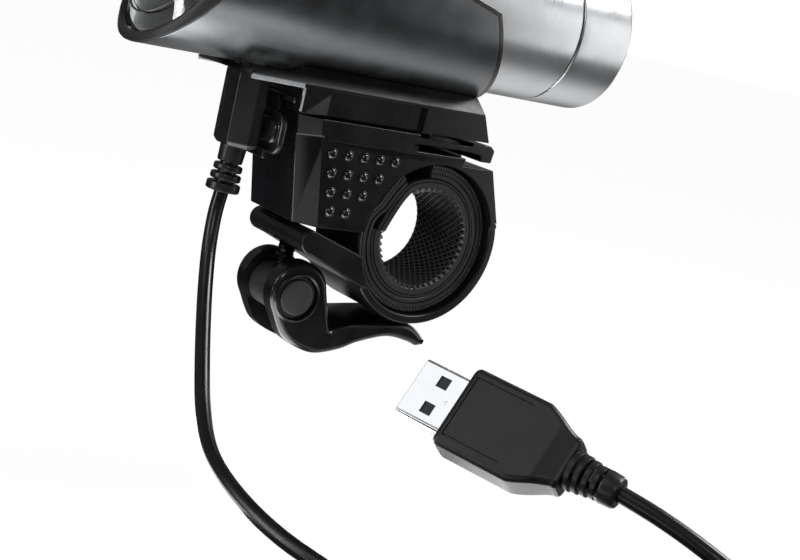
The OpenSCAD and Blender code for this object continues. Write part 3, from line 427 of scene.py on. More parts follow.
# Nickel-plated strip steel, folded: bright and nearly smooth, with faint rolling marks
nickel = worked_metal("nickel_plated_steel", "#d6d8da", 0.16, 0.12, 0.001, 3)
shell_back, shell_l, shell_w, shell_t, shell_wall = 29, 16, 12, 4.5, 0.35
hole_size, hole_x, hole_y = 2.4, 38.3, 2.9
shell_rows = []
for x, inset in ((shell_back, 0), (shell_back + shell_l - 0.12, 0), (shell_back + shell_l, 0.12),
        (shell_back + shell_l, shell_wall), (shell_back + 0.4, shell_wall)):
    ring = rounded_rectangle(shell_w / 2 - inset, shell_t / 2 - inset, 0.75 - inset)
    shell_rows.append([power_turn @ Vector((x, y, z)) for y, z in ring])
shell_cuts = [block((hole_x, y - hole_size / 2, -shell_t), (hole_x + hole_size, y + hole_size / 2, shell_t),
    power_turn, 1) for y in (-hole_y, hole_y)]
shell_cuts.append(plain_mesh(*spun([(-0.12, 0.001), (-0.1, 0.5), (0.3, 0.62), (0.3, 0.001)],
    power_turn @ Matrix.Translation((36.6, -0.4, -shell_t / 2)) @ turned(90, "Y"), 20)))
tabs = [block((hole_x + 0.9, y - 0.8, 0.6 - shell_t / 2), (hole_x + 2.6, y + 0.8, 0.75 - shell_t / 2),
    power_turn, 1) for y in (-hole_y, hole_y)]
shell_mesh = joined(cut_away(plain_mesh(*skin(shell_rows)), shell_cuts), *tabs)
power_shell = place_piece("power_plug_shell", shell_mesh, nickel, "lead", "plug_shell", "power_shell")


def dress(node, material):
    """Gives a carried-over node its material."""
    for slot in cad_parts[node].material_slots:
        slot.material = material


# Glass-filled nylon tongue, moulded black, and gold-plated contacts
dress("power_tongue", moulded("glass_filled_nylon", "#1d1e20", "#2a2b2d", 0.5, 0.3, 0.02))
gold = worked_metal("gold_plated_contact", "#d9b45c", 0.22, 0.1, 0.001, 1)
dress("power_contacts", gold)


# Charging plug: a moulded grip with chamfered edges and a sunk panel, its metal tip in the lamp's
# socket, and a ribbed strain relief that ends in a wide collar.
def merged(node):
    """Copy of a CAD node's mesh with its loose triangles merged."""
    shape = bmesh.new()
    shape.from_mesh(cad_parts[node].data)
    bmesh.ops.remove_doubles(shape, verts=shape.verts, dist=0.002 * mm)
    return to_mesh(shape)


def rounded(mesh, radius, steps=2, angle=25):
    """Mesh with its flat faces joined and its sharp edges rounded, apart from the shortest."""
    shape = bmesh.new()
    shape.from_mesh(mesh)
    bmesh.ops.remove_doubles(shape, verts=shape.verts, dist=0.02 * mm)
    bmesh.ops.dissolve_limit(shape, angle_limit=radians(0.5), verts=shape.verts, edges=shape.edges)
    sharp = [e for e in shape.edges if e.is_manifold and e.calc_face_angle(0) > radians(angle)
        and e.calc_length() > 0.3 * mm]
    bmesh.ops.bevel(shape, geom=sharp, offset=radius, offset_type="OFFSET", segments=steps, profile=0.5,
        affect="EDGES", clamp_overlap=False)
    large = [f for f in shape.faces if len(f.verts) > 4 and f.calc_area() > 3 * mm * mm]
    bmesh.ops.planar_faces(shape, faces=large, iterations=40, factor=0.5)
    return to_mesh(shape)


plug_section = [(45.3, -4.6), (45.9, -5.2), (50.5, -5.2), (51.5, -4.2), (51.5, 1.9), (48.2, 5.2), (45.9, 5.2),
    (45.3, 4.6)]
plug_rows = []
for z, size in ((plug_bottom, 0.8), (plug_bottom + 1.0, 1), (29.9, 1), (30.4, 0.93)):
    plug_rows.append([Vector((plug_axis_x + (x - plug_axis_x) * size, y * size, z)) * mm
        for x, y in plug_section])
plug_panel = block((51.2, -3.3, 17), (53, 1.1, 28))
plug_mesh = rounded(cut_away(plain_mesh(*skin(plug_rows)), [plug_panel]), 0.25 * mm)
place_piece("charging_plug_grip", plug_mesh, plug_pvc, "lead", "plug_plastic", "charging_plug")
dress("charging_tip", nickel)
charging_turn = (Matrix.Translation(cord_start) @ Matrix.Rotation(-relief_lean, 4, "Y") @ turned(-90, "Y")
    @ metres)
relief_neck = 2.0
charging_profile = [(0, 1.55)]
for x, wide, r in ((0, 1.9, 3.7), (2.4, 1.5, 3.35), (4.4, 1.5, 3.15)):
    charging_profile += [(x, r - 0.35), (x + 0.12, r - 0.1), (x + 0.35, r), (x + wide - 0.35, r),
        (x + wide - 0.12, r - 0.1), (x + wide, r - 0.35), (x + wide, relief_neck),
        (x + wide + 0.5, relief_neck)]
charging_profile += [(6.4, 2.6), (6.7, 2.75), (relief_l - 0.2, 2.9), (relief_l + 0.1, 2.9)]
place_piece("charging_plug_relief", plain_mesh(*spun(charging_profile, charging_turn, 48)), plug_pvc, "lead",
    "plug_plastic", "charging_relief")


# Bracket: one black moulding with a deck and rail on top, a bored seat for the bar below and rows
# of round grip bumps on both sides.
def new_tree(name, inputs):
    """Geometry node tree with inputs of named kinds, and the sockets that give them."""
    tree = bpy.data.node_groups.new(name, "GeometryNodeTree")
    for socket, kind in inputs.items():
        tree.interface.new_socket(socket, in_out="INPUT", socket_type="NodeSocket" + kind)
    tree.interface.new_socket("Geometry", in_out="OUTPUT", socket_type="NodeSocketGeometry")
    return tree, add_node(tree, "NodeGroupInput").outputs


def end_tree(tree, last, material):
    """Ends a node tree with real geometry in its material."""
    real = add_node(tree, "GeometryNodeRealizeInstances", {0: last})
    finished = add_node(tree, "GeometryNodeSetMaterial", {"Geometry": real, "Material": material})
    add_node(tree, "NodeGroupOutput", {0: finished})


# Node tree that sets copies of a shape on points, turned along each point's outward way
copies_on_points, given = new_tree("copies_on_points", {"Geometry": "Geometry", "Shape": "Object",
    "Material": "Material"})
single = add_node(copies_on_points, "GeometryNodeObjectInfo", {"Object": given["Shape"]})
outward = add_node(copies_on_points, "GeometryNodeInputNamedAttribute", {"Name": "outward"},
    data_type="FLOAT_VECTOR")
aim = add_node(copies_on_points, "FunctionNodeAlignRotationToVector",
    {"Vector": outward.outputs["Attribute"]}, axis="Z")
spread = add_node(copies_on_points, "GeometryNodeInstanceOnPoints",
    {"Points": given["Geometry"], "Instance": single.outputs["Geometry"], "Rotation": aim})
end_tree(copies_on_points, spread, given["Material"])


def grown(mesh, tree, values):
    """Plain mesh that a node tree makes from a mesh, with the tree's inputs set by name."""
    maker = linked("maker", mesh)
    modifier = maker.modifiers.new("maker", "NODES")
    modifier.node_group = tree
    for item in tree.interface.items_tree:
        if item.in_out == "INPUT" and item.name in values:
            modifier[item.identifier] = values[item.name]
    made = bpy.data.meshes.new_from_object(maker.evaluated_get(bpy.context.evaluated_depsgraph_get()))
    bpy.data.objects.remove(maker)
    return made


def copies(shape_mesh, places, material):
    """Mesh of copies of a shape at (point, outward way) places."""
    points = bpy.data.meshes.new("points")
    points.from_pydata([p for p, way in places], [], [])
    points.attributes.new("outward", "FLOAT_VECTOR", "POINT").data.foreach_set("vector",
        [c for p, way in places for c in way])
    shape = linked("shape", shape_mesh)
    made = grown(points, copies_on_points, {"Shape": shape, "Material": material})
    bpy.data.objects.remove(shape)
    return made


# ABS, moulded in a spark-eroded tool: near-black satin with a fine even grain
abs_black = moulded("moulded_abs_black", "#08080a", "#0d0d0f", 0.3, 0.3, 0.008, 0.24)
block_half = 11.6
band_line = 19.48
deck_z, block_front, block_lean = 24, 39.4, radians(11)
bracket_cuts = [block((-40, y0, -20), (60, y1, band_line))
    for y0, y1 in ((block_half + 0.002, 15), (-15, -block_half - 0.002))]
latch_floor, shoulder_z, tab_front = 20.2, 18.3, -6
rib_slot = 0.8
bracket_cuts += [block((x0, -rib_slot, z - 1.5), (x1, rib_slot, z + 1))
    for x0, x1, z in ((tab_front - 0.1, 8, latch_floor), (-15, tab_front + 0.4, shoulder_z))]
corner_place = (Matrix.Translation((block_front * mm, 12 * mm, deck_z * mm))
    @ Matrix.Rotation(block_lean, 4, "Y") @ turned(45, "Z"))
corner_in = -4 / sqrt(2) - 0.45
bracket_cuts.append(block((corner_in, -20, -40), (20, 20, band_line - deck_z), corner_place))
bracket_mesh = rounded(cut_away(merged("bracket_body"), bracket_cuts), 0.2 * mm, 2, 8.3)
bump_template = plain_mesh(*spun([(-0.3, 1.32), (0.06, 1.3), (0.1, 1.18), (0.4, 1.06), (0.68, 0.8),
    (0.82, 0.45), (0.87, 0.02)], turned(-90, "Y") @ metres, 20))
bump_pitch = 4.2
bump_places = []
for row, count in enumerate((2, 3, 4, 5)):
    z = 4.3 + row * bump_pitch
    x = block_front - (deck_z - z) * tan(block_lean) - 7.1
    bump_places += [(Vector((x - i * bump_pitch, side * block_half, z)) * mm, (0, side, 0))
        for i in range(count) for side in (-1, 1)]
place_piece("bracket_moulding", bracket_mesh, abs_black, "bracket", "bracket_plastic", "bracket_body")
# The same ABS where the tool is polished: the bumps are bright and smooth
abs_polished = moulded("polished_abs_black", "#08080a", "#0d0d0f", 0.14, 0.5, 0.002, 0.6)
place_piece("grip_bumps", copies(bump_template, bump_places, abs_polished), abs_polished, "bracket",
    "bracket_plastic")


# Bar pads: two black silicone strips wound inside the clamp. The inner one is knurled where it
# grips the bar, its free end springs inwards, and both have pressed lines along their edges.
def spring_in(a):
    """How far the inner strip's free end springs towards the bar's axis at an angle in degrees, in mm."""
    t = (a - inner_from) / 58
    return 1.7 * sin(pi * (0.25 + 0.75 * t)) if t < 1 else 0


def wound(profile, start, end, steps, lift):
    """Strip of a (radius, y) profile wound about the bar, in mm and degrees, less a lift at each angle."""
    rows = []
    for k in range(steps + 1):
        a = start + (end - start) * k / steps
        c, s = cos(radians(a)), sin(radians(a))
        rows.append([Vector(((r - lift(a)) * c, y, (r - lift(a)) * s)) * mm for r, y in profile])
    return skin(rows)


def both_sides(half, edge):
    """Profile of a strip from the (radius, depth) points of one side face, in mm."""
    side = [(r, d - half) for r, d in edge]
    return side + [(r, -y) for r, y in reversed(side)]


# Silicone rubber, pressed: dull black. The knurl ridges and the edge teeth get a greyer, glossier copy as a
# painted highlight
silicone = moulded("pressed_silicone", "#0e0e0f", "#1e1e1f", 0.48, 0.25, 0.02)
highlit_silicone = moulded("silicone_painted_highlight", "#202021", "#343536", 0.4, 0.3, 0.02, 0.6)
pad_half = 9.2
bore_r, knurl_h, inner_r = 11.1, 0.8, 14.2
inner_from, inner_to = 4.5, 364.2
lip = [(bore_r + knurl_h, 0.8), (bore_r + 0.2, 0.75), (bore_r, 0.6), (bore_r, 0.2), (bore_r + 0.2, 0)]
inner_profile = [(r, d - pad_half) for r, d in lip] + both_sides(pad_half,
    [(bore_r + knurl_h, 0.2), (bore_r + knurl_h + 0.2, 0), (13.3, 0), (13.4, 0.3), (13.6, 0.3), (13.7, 0),
    (inner_r - 0.2, 0), (inner_r, 0.25)])[2:]
place_piece("inner_strip_pressed", plain_mesh(*wound(inner_profile, inner_from, inner_to, 150, spring_in)),
    silicone, "bracket", "pad_rubber", "inner_pad")
knurl_around, knurl_along, knurl_from = 1.5, 2.28, 62
ridge_foot, ridge_top = 0.24, 0.12
ridge_reach = hypot(knurl_around, knurl_along) / 2 + 0.04
ridge_turn = atan2(knurl_along, knurl_around)
ridges = []
for turn in (ridge_turn, -ridge_turn):
    rows = [[Matrix.Rotation(turn, 3, "Z") @ Vector((x, y, z)) * mm
        for y, z in ((-ridge_foot, -0.15), (-ridge_top, knurl_h), (ridge_top, knurl_h), (ridge_foot, -0.15))]
        for x in (-ridge_reach, ridge_reach)]
    ridges.append(plain_mesh(*skin(rows)))
knurl_count = round(radians(inner_to - knurl_from) * bore_r / knurl_around)
knurl_places = []
for i in range(knurl_count):
    a = radians(knurl_from + (inner_to - knurl_from) * (i + 0.5) / knurl_count)
    r, c, s = bore_r + knurl_h, cos(a), sin(a)
    knurl_places += [(Vector((r * c, pad_half - 0.05 - knurl_along * (j + 0.5), r * s)) * mm, (-c, 0, -s))
        for j in range(8)]
# The knurl ridges are coloured greyer as a painted highlight on their tops
place_piece("inner_strip_knurl", copies(joined(*ridges), knurl_places, highlit_silicone), highlit_silicone, "bracket",
    "pad_rubber")
outer_in, outer_r = 14.3, 17.6
outer_from, outer_to = 84, 418
outer_profile = both_sides(pad_half, [(outer_in, 0.25), (outer_in + 0.2, 0), (15.2, 0), (15.3, 0.4),
    (15.55, 0.4), (15.65, 0), (16.5, 0), (16.6, 0.3), (17.3, 0.3), (17.4, 0), (outer_r, 0.15)])


def follow_in(a):
    """How far the outer strip's last stretch follows the inner one inwards, in mm."""
    t = min(max((a - 368) / 22, 0), 1)
    return t * t * (3 - 2 * t) * spring_in(a - 360) if a > 360 else 0


outer_strip = plain_mesh(*wound(outer_profile, outer_from, outer_to, 150, follow_in))
tooth_r, tooth_count = 16.95, 130
tooth = block((-0.2, -0.3, -0.1), (0.2, 0.3, 0.35))
tooth_places = []
for k in range(tooth_count):
    a = outer_from + 2 + (outer_to - outer_from - 4) * k / (tooth_count - 1)
    r, c, s = tooth_r - follow_in(a), cos(radians(a)), sin(radians(a))
    tooth_places += [(Vector((r * c, side * (pad_half - 0.3), r * s)) * mm, (0, side, 0)) for side in (-1, 1)]
place_piece("outer_strip_pressed", outer_strip, silicone, "bracket", "pad_rubber", "outer_pad")
# The edge teeth are coloured greyer as painted highlights along the pads' edges
place_piece("outer_strip_teeth", copies(tooth, tooth_places, highlit_silicone), highlit_silicone, "bracket", "pad_rubber")


# Bolt, nut and barrel: the bolt is threaded along its whole length and holds the barrel, on which
# the lever turns, to the nut in the block. All three are blackened steel.
bolt_low, bolt_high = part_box("clamp_bolt")
bolt_r = (bolt_high.x - bolt_low.x) / 2
thread_pitch = 0.7 * mm
thread_depth = 0.38 * mm
root_r = bolt_r - thread_depth
bolt_foot = Matrix.Translation(((bolt_low.x + bolt_high.x) / 2, 0, bolt_low.z))
bolt_l = bolt_high.z - bolt_low.z
# Black oxide on turned steel: dark grey with fine turning lines
black_steel = worked_metal("black_oxide_steel", "#141516", 0.34, 0.15, 0.002, 2)
dress("clamp_nut", black_steel)
# Node tree that winds a wire in a helix along z
wound_coil, given = new_tree("wound_coil", {"Geometry": "Geometry", "Turns": "Float", "Length": "Float",
    "First radius": "Float", "Last radius": "Float", "Wire radius": "Float", "Steps": "Int", "Sides": "Int",
    "Material": "Material"})
line = add_node(wound_coil, "GeometryNodeCurveSpiral", {"Resolution": given["Steps"],
    "Rotations": given["Turns"], "Start Radius": given["First radius"], "End Radius": given["Last radius"],
    "Height": given["Length"]})
wire = add_node(wound_coil, "GeometryNodeCurvePrimitiveCircle",
    {"Resolution": given["Sides"], "Radius": given["Wire radius"]})
tube = add_node(wound_coil, "GeometryNodeCurveToMesh", {"Curve": line, "Profile Curve": wire,
    "Fill Caps": True})
end_tree(wound_coil, tube, given["Material"])
shank = plain_mesh(*spun([(0, 0.02 * mm), (0, bolt_r - 0.6 * mm), (0.4 * mm, root_r),
    (bolt_l - 0.4 * mm, root_r), (bolt_l, bolt_r - 0.6 * mm), (bolt_l, 0.02 * mm)],
    bolt_foot @ turned(-90, "Y"), 32))
thread = grown(bpy.data.meshes.new("thread"), wound_coil,
    {"Turns": (bolt_l - 1.2 * mm) / thread_pitch, "Length": bolt_l - 1.2 * mm, "First radius": root_r,
    "Last radius": root_r, "Wire radius": thread_depth, "Steps": 24, "Sides": 4, "Material": black_steel})
thread.transform(bolt_foot @ Matrix.Translation((0, 0, 0.6 * mm)))
place_piece("bolt_threaded", joined(shank, thread), black_steel, "bracket", "zinc_steel", "clamp_bolt")
barrel_axis = Vector((29.8, 0, -16.4))
barrel_turn = Matrix.Translation(barrel_axis * mm) @ turned(90, "Z") @ metres
barrel_end = [(8.75, 0.02), (8.72, 3.5), (8.6, 3.95), (8.35, 4.15), (7.9, 4.2), (7.9, 4.75), (7.7, 5.0)]
barrel_mesh = plain_mesh(*spun(barrel_end + [(-x, r) for x, r in reversed(barrel_end)], barrel_turn))
# Phosphated steel: an even matt dark grey coat
phosphate = moulded("phosphated_steel", "#141516", "#1d1e1f", 0.42, 0.3, 0.008, 0.5)
place_piece("barrel_turned", barrel_mesh, phosphate, "bracket", "zinc_steel", "barrel_pin")

# Clamp jaw: the springy band below the bar, moulded in one with the arm that the lever draws up. It
# is of the bracket's ABS, and bends open where the band meets the bracket.
place_piece("clamp_band", rounded(merged("clamp_jaw"), 0.45 * mm, 3), abs_black, "jaw", "bracket_plastic",
    "clamp_jaw")


# Cam lever: two cheeks round the barrel, which draw the bolt down as they turn, and a handle with a
# waist and a down-turned tip. It is moulded in one piece.
def rounded_slab(outline, half_w, radius, steps=4):
    """Slab of a side outline of (x, z) points about y 0, with rounded rims, in mm."""
    count = len(outline)
    ways = []
    for k in range(count):
        before, after = outline[k - 1], outline[(k + 1) % count]
        along = Vector((after[0] - before[0], after[1] - before[1])).normalized()
        ways.append((-along.y, along.x))
    rows = []
    for side in (-1, 1):
        for k in range(steps + 1):
            a = pi / 2 * (k if side < 0 else steps - k) / steps
            inset, y = radius * (1 - sin(a)), side * (half_w - radius * (1 - cos(a)))
            rows.append([Vector((x + w[0] * inset, y, z + w[1] * inset)) * mm
                for (x, z), w in zip(outline, ways)])
    return plain_mesh(*skin(rows))


# Glass-filled nylon, moulded glossy: black with a slow ripple in its highlights
nylon = moulded("glossy_nylon", "#060607", "#0a0a0b", 0.22, 0.6, 0.005)
cam_r, cam_place = 7.2, (-0.631, 0.901)
lever_half, fork_half, fork_depth = 8.7, 4.5, 11
lever_reach, waist_x, waist_z, waist_t = 38.3, -27, -6, 3.6
heel_line = [(1.5, -9), (-3.4, -11.7), (-8.3, -12.7), (-14.4, -11.5), (-19.4, -9.5)]
top_line = [(-17.3, -5), (-13.8, -5.8), (-10.7, -6.9)]
cam_arc = [(cam_place[0] + cam_r * cos(a), cam_place[1] + cam_r * sin(a))
    for a in (radians(-36 + 206 * k / 40) for k in range(41))]
upper = [(-lever_reach, -8.2), (3.1 - lever_reach, -5.6), (6.6 - lever_reach, -4.2),
    (waist_x, waist_z + waist_t / 2)] + top_line
lower = [cam_arc[0]] + heel_line + [(waist_x, waist_z - waist_t / 2), (5 - lever_reach, -8.7),
    (2.4 - lever_reach, -9.6)]
tip_round = ((2.4 - lever_reach, -9.6), (0.8 - lever_reach, -9.3), (-lever_reach, -8.2))
lever_outline = (cam_arc + through_points(upper, 8)[::-1] + through_points(tip_round, 4)[-2:0:-1]
    + through_points(lower, 8)[:0:-1])
lever_outline = [(x + barrel_axis.x, z + barrel_axis.z) for x, z in lever_outline]
lever_cuts = [block((barrel_axis.x - fork_depth, -fork_half, -60), (60, fork_half, 20)),
    plain_mesh(*spun([(-20, 5.05), (20, 5.05)], barrel_turn))]
lever_mesh = cut_away(rounded_slab(lever_outline, lever_half, 1.4, 6), lever_cuts)
lip_profile = [(lever_half - 0.2, 5.05), (lever_half + 0.16, 5.1), (lever_half + 0.28, 5.3),
    (lever_half + 0.2, 5.55), (lever_half - 0.2, 5.8)]
lever_mesh = joined(lever_mesh, *[plain_mesh(*spun([(side * y, r) for y, r in lip_profile], barrel_turn, 64,
    True)) for side in (-1, 1)])
place_piece("lever_moulding", lever_mesh, nylon, "lever", "lever_plastic", "cam_lever")

# Release latch: a sprung tongue under the shoe with a thumb tab behind, moulded in black plastic. A
# rib below it dips into a slot in the deck and guides it.
latch_rib = joined(*[block((x0, -0.5, z - 0.1), (x1, 0.5, 22))
    for x0, x1, z in ((tab_front, 7.5, latch_floor), (-12.6, tab_front, shoulder_z))])
place_piece("latch_moulding", joined(rounded(merged("release_latch"), 0.25 * mm), latch_rib), abs_black,
    "latch", "bracket_plastic", "release_latch")

# Lamp shoe: the moulding under the lamp that slides on the bracket's rail, with a hood over the
# charging socket. Four cross-recessed screws hold it to the sleeve.
place_piece("shoe_moulding", rounded(merged("lamp_shoe"), 0.25 * mm, 2, 8.3), abs_black, "lamp",
    "shoe_plastic", "lamp_shoe")
shoe_front, shoe_half, hood_low = 41.5, 12, 30.6
rim_h = 0.95
rim_front, rim_drop, rim_slope = 54.4, 0.7, 0.015
edge_low, edge_w = 24.8, 0.4
hood_rims = []
for side in (-1, 1):
    ends = []
    for x in (shoe_front + 0.1, rim_front):
        z = hood_low - rim_drop - rim_slope * (rim_front - x)
        ends.append([Vector((x, side * y, h)) * mm for y, h in ((shoe_half - 0.6, z + 0.3),
            (shoe_half - 0.2, z), (shoe_half + 0.1, z + 0.15), (shoe_half + 0.15, z + rim_h),
            (shoe_half - 0.1, z + rim_h + 0.15), (shoe_half - 0.6, z + rim_h))])
    hood_rims.append(plain_mesh(*skin(ends)))
    edge = sorted(side * (shoe_half + y) for y in (-0.5, 0.08))
    hood_rims.append(rounded(block((shoe_front - edge_w, edge[0], edge_low),
        (shoe_front + 0.08, edge[1], hood_low - rim_drop)), 0.15 * mm))
# ABS painted bright along the hood's lower rim and the shoe's front edge: a painted highlight where light
# catches these edges
place_piece("hood_rim", joined(*hood_rims), moulded("abs_rim_painted_highlight", "#6e7072", "#96989a", 0.2, 0.6, 0.004,
    0.8), "lamp", "shoe_plastic")
# Zinc-plated steel: pale grey, slightly cloudy
zinc = worked_metal("zinc_plated_steel", "#b9bcbe", 0.3, 0.15, 0.002, 1)
screw_low, screw_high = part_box("shoe_screws")
screw_l = (screw_high.z - screw_low.z) / mm
screw_mesh = plain_mesh(*spun([(0, 0.02), (0, 1.2), (0.3, 1.6), (0.5, 1.7), (1.2, 1.7), (1.2, 0.9),
    (screw_l - 0.8, 0.9), (screw_l, 0.02)], turned(-90, "Y") @ metres, 24))
screw_mesh = cut_away(screw_mesh, [block((-0.9, -0.18, -1), (0.9, 0.18, 0.7)),
    block((-0.18, -0.9, -1), (0.18, 0.9, 0.7))])
screw_places = [((x * mm, y * mm, screw_low.z), (0, 0, 1)) for x in (2, 24) for y in (-8.2, 8.2)]
place_piece("shoe_screws_recessed", copies(screw_mesh, screw_places, zinc), zinc, "lamp", "zinc_steel",
    "shoe_screws")
dress("charging_socket", nickel)
dress("socket_tongue", plug_pvc)

# Head sleeve and trim: the dark sleeve slips over the front of the tube, cut on a rake behind, with
# a black rubber trim along that edge.
lamp_z = 53
bow_x, bow_r = 51.5, 26
sleeve_r, tube_r, head_r, tube_front = 21, 18, 20, 46
sleeve_corners = [(0, 2.7), (2, 10.5), (8, 32), (26, 46)]
around_steps = 192


def back_edge(rise):
    """Place of the sleeve's back edge at a height above the lamp's axis, in mm."""
    if rise <= 0:
        return sleeve_corners[0][1] + rise * tan(radians(25))
    for (z0, x0), (z1, x1) in zip(sleeve_corners, sleeve_corners[1:]):
        if rise <= z1:
            return x0 + (x1 - x0) * (rise - z0) / (z1 - z0)


def bow(y, depth=0.0):
    """Place of the bowed front at a distance from the middle plane, moved back by a depth, in mm."""
    return bow_x + sqrt((bow_r - depth) ** 2 - y * y)


def round_lamp(profile_at):
    """Closed ring about the lamp's axis whose (x, radius) profile is worked out at each angle."""
    rows = []
    for k in range(around_steps):
        a = 2 * pi * k / around_steps
        rows.append([Vector((x, r * cos(a), lamp_z + r * sin(a))) * mm for x, r in profile_at(a)])
    return plain_mesh(*skin(rows, closed=True))


def sleeve_profile(a):
    """Sleeve's wall at an angle: raked back edge, outside, bowed front edge, inside."""
    up, side = sin(a), cos(a)
    back = [(back_edge(r * up) + x, r) for x, r in ((0, tube_r + 0.05), (0, 20.55), (0.12, 20.85),
        (0.45, sleeve_r))]
    front = [(bow(r * side) - x, r) for x, r in ((0.8, sleeve_r), (0.62, 20.94), (0.55, 20.8),
        (0.55, head_r))]
    x0, x1 = back[-1][0], front[0][0]
    outside = [(x0 + (x1 - x0) * k / 6, sleeve_r) for k in range(1, 6)]
    return back + outside + front + [(tube_front, head_r), (tube_front, tube_r + 0.05)]


def trim_profile(a):
    """Trim's wall at an angle, between the sleeve's back edge and its own."""
    up = sin(a)
    out_r = 20.5
    own = [(back_edge(r * up - 0.8) - 1.4 + x, r) for x, r in ((0, tube_r + 0.05), (0, 20.1), (0.12, 20.38),
        (0.4, out_r))]
    return own + [(min(back_edge(r * up), tube_front), r) for r in (out_r, tube_r + 0.05)]


# Satin paint with fine metal flake over moulded plastic: charcoal with a slight orange peel
paint = moulded("satin_flake_paint", "#66686a", "#707274", 0.3, 0.3, 0.008, 0.5, 1.0)
socket_cut = block((46.9, -3.8, 28), (49.9, 3.8, 38))
place_piece("sleeve_painted", cut_away(round_lamp(sleeve_profile), [socket_cut]), paint, "lamp",
    "sleeve_paint", "head_sleeve")
# Soft TPE, moulded: black and slightly glossy
tpe = moulded("soft_tpe", "#0c0c0d", "#151516", 0.3, 0.4, 0.006, 0.5)
place_piece("trim_moulded", round_lamp(trim_profile), tpe, "lamp", "black_rubber", "sleeve_trim")

# Body tube and tail cap: turned aluminium, bead-blasted and clear anodised. The cap screws into the
# tube on a black seal ring, and a wound spring in it presses on the cell.
aluminium = worked_metal("anodised_aluminium", "#b6b8ba", 0.3, 0.12, 0.0015, 9, (1, 0.08, 0.08))
lamp_turn = Matrix.Translation((0, 0, lamp_z * mm)) @ metres
tube_profile = [(-24.6, 16.4), (-24.6, 17.7), (-24.5, 17.85), (-24.2, tube_r)]
tube_profile += [(-24 + 10 * k, tube_r) for k in range(1, 7)]
tube_profile += [(tube_front, tube_r), (tube_front, 16.4)]
button_x = 14
button_hole = plain_mesh(*spun([(0, 5.6), (40, 5.6)], lamp_turn @ Matrix.Translation((button_x, 0, 0))
    @ turned(-90, "Y")))
tube_mesh = cut_away(plain_mesh(*spun(tube_profile, lamp_turn, around_steps, True)), [button_hole])
place_piece("tube_turned", tube_mesh, aluminium, "lamp", "silver_aluminium", "body_tube")
tail_profile = [(-40.75, 0.02), (-40.75, 13.2), (-40.45, 13.5), (-40.45, 13.9), (-40.75, 14.2), (-40.9, 14.5)]
tail_profile += [(-40.9 + 1.2 * (1 - cos(a)), 16.8 + 1.2 * sin(a))
    for a in (pi / 2 * k / 6 for k in range(7))]
tail_profile += [(-34, tube_r), (-28, tube_r), (-25.4, tube_r), (-25.1, 17.85), (-25.0, 17.7), (-25.0, 16.3),
    (-16.4, 16.3), (-16.4, 14.7), (-38.5, 14.7), (-38.5, 0.02)]
place_piece("tail_cap_turned", plain_mesh(*spun(tail_profile, lamp_turn, around_steps)), aluminium, "tail",
    "silver_aluminium", "tail_cap")
dress("tail_seal", tpe)


# Bezel, lens, seal and reflector: the black ring holds a bowed clear lens on its seal, in front of
# a bright cup round the emitter.
def bezel_profile(a):
    """Bezel's wall at an angle: outside, bowed lip and the seat of the lens behind it."""
    side = cos(a)
    lip = [(bow(r * side) - x, r) for x, r in ((0.5, 19.95), (0.5, 20.8), (0.4, 20.9), (0.25, 20.9),
        (0.06, 20.76), (0, 20.4), (0, 19.6), (0.12, 19.1), (0.35, 18.8))]
    return [(60, 19.95)] + lip + [(bow(18.8 * side, 1.2), 18.8), (bow(19.4 * side, 1.2), 19.4), (60, 19.4)]


# Glass-filled nylon, moulded matt: charcoal with a coarse grain
matt_nylon = moulded("matt_nylon_ring", "#161718", "#202122", 0.46, 0.3, 0.015)
place_piece("bezel_moulded", round_lamp(bezel_profile), matt_nylon, "lamp", "bezel_plastic", "bezel")
# Polycarbonate, moulded and polished: clear and water-white, with a faint moulding ripple
polycarbonate, tree, place = new_material("clear_polycarbonate")
ripple = add_node(tree, "TexNoise", {"Vector": place, "Scale": 1 / (6 * mm)})
bump = add_node(tree, "Bump", {"Height": ripple, "Distance": 0.05 * mm})
haze = add_node(tree, "MapRange", {"Value": ripple, "To Min": 0.02, "To Max": 0.06})
shader = add_node(tree, "BsdfPrincipled", {"Base Color": linear("#f4f7f8"), "Roughness": haze, "IOR": 1.58,
    "Transmission Weight": 1.0, "Normal": bump})
add_node(tree, "OutputMaterial", {"Surface": shader})
lens_r, lens_depth, lens_t = 19.25, 1.25, 1.9
ring_r, ring_step, lens_steps = 14.6, 0.35, 128
lens_rows = []
for face in (0, 1):
    radii = [0.03, 3, 6, 9, 12, ring_r, ring_r + 0.35, 16.5, 18, lens_r]
    for r in (radii if face == 0 else reversed(radii)):
        deep = lens_depth + (lens_t if face else (0 if r > ring_r else ring_step))
        lens_rows.append([Vector((bow(r * cos(a), deep), r * cos(a), lamp_z + r * sin(a))) * mm
            for a in (2 * pi * k / lens_steps for k in range(lens_steps))])
place_piece("lens_clear", plain_mesh(*skin(lens_rows)), polycarbonate, "lamp", "clear_lens", "lens")
dress("lens_seal", tpe)
# Vacuum-metallised ABS: mirror bright with a slight orange peel
mirror = worked_metal("vacuum_metallised_cup", "#e9ebec", 0.1, 1.2, 0.02, 4)
cup_low, cup_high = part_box("reflector")
cup_back, cup_front = cup_low.x / mm, cup_high.x / mm
neck_r, mouth_r, cup_wall, cup_steps = 4.5, 17.1, 1.2, 24
cup_line = [(cup_back + (cup_front - cup_back) * k / cup_steps,
    sqrt(neck_r ** 2 + k / cup_steps * (mouth_r ** 2 - neck_r ** 2))) for k in range(cup_steps + 1)]
cup_profile = (cup_line + [(cup_front, 19.2), (cup_front - cup_wall, 19.2),
    (cup_front - cup_wall, mouth_r + cup_wall)] + [(x, r + cup_wall) for x, r in reversed(cup_line[:-2])])
place_piece("reflector_cup", plain_mesh(*spun(cup_profile, lamp_turn, 96, True)), mirror, "lamp",
    "bright_reflector", "reflector")

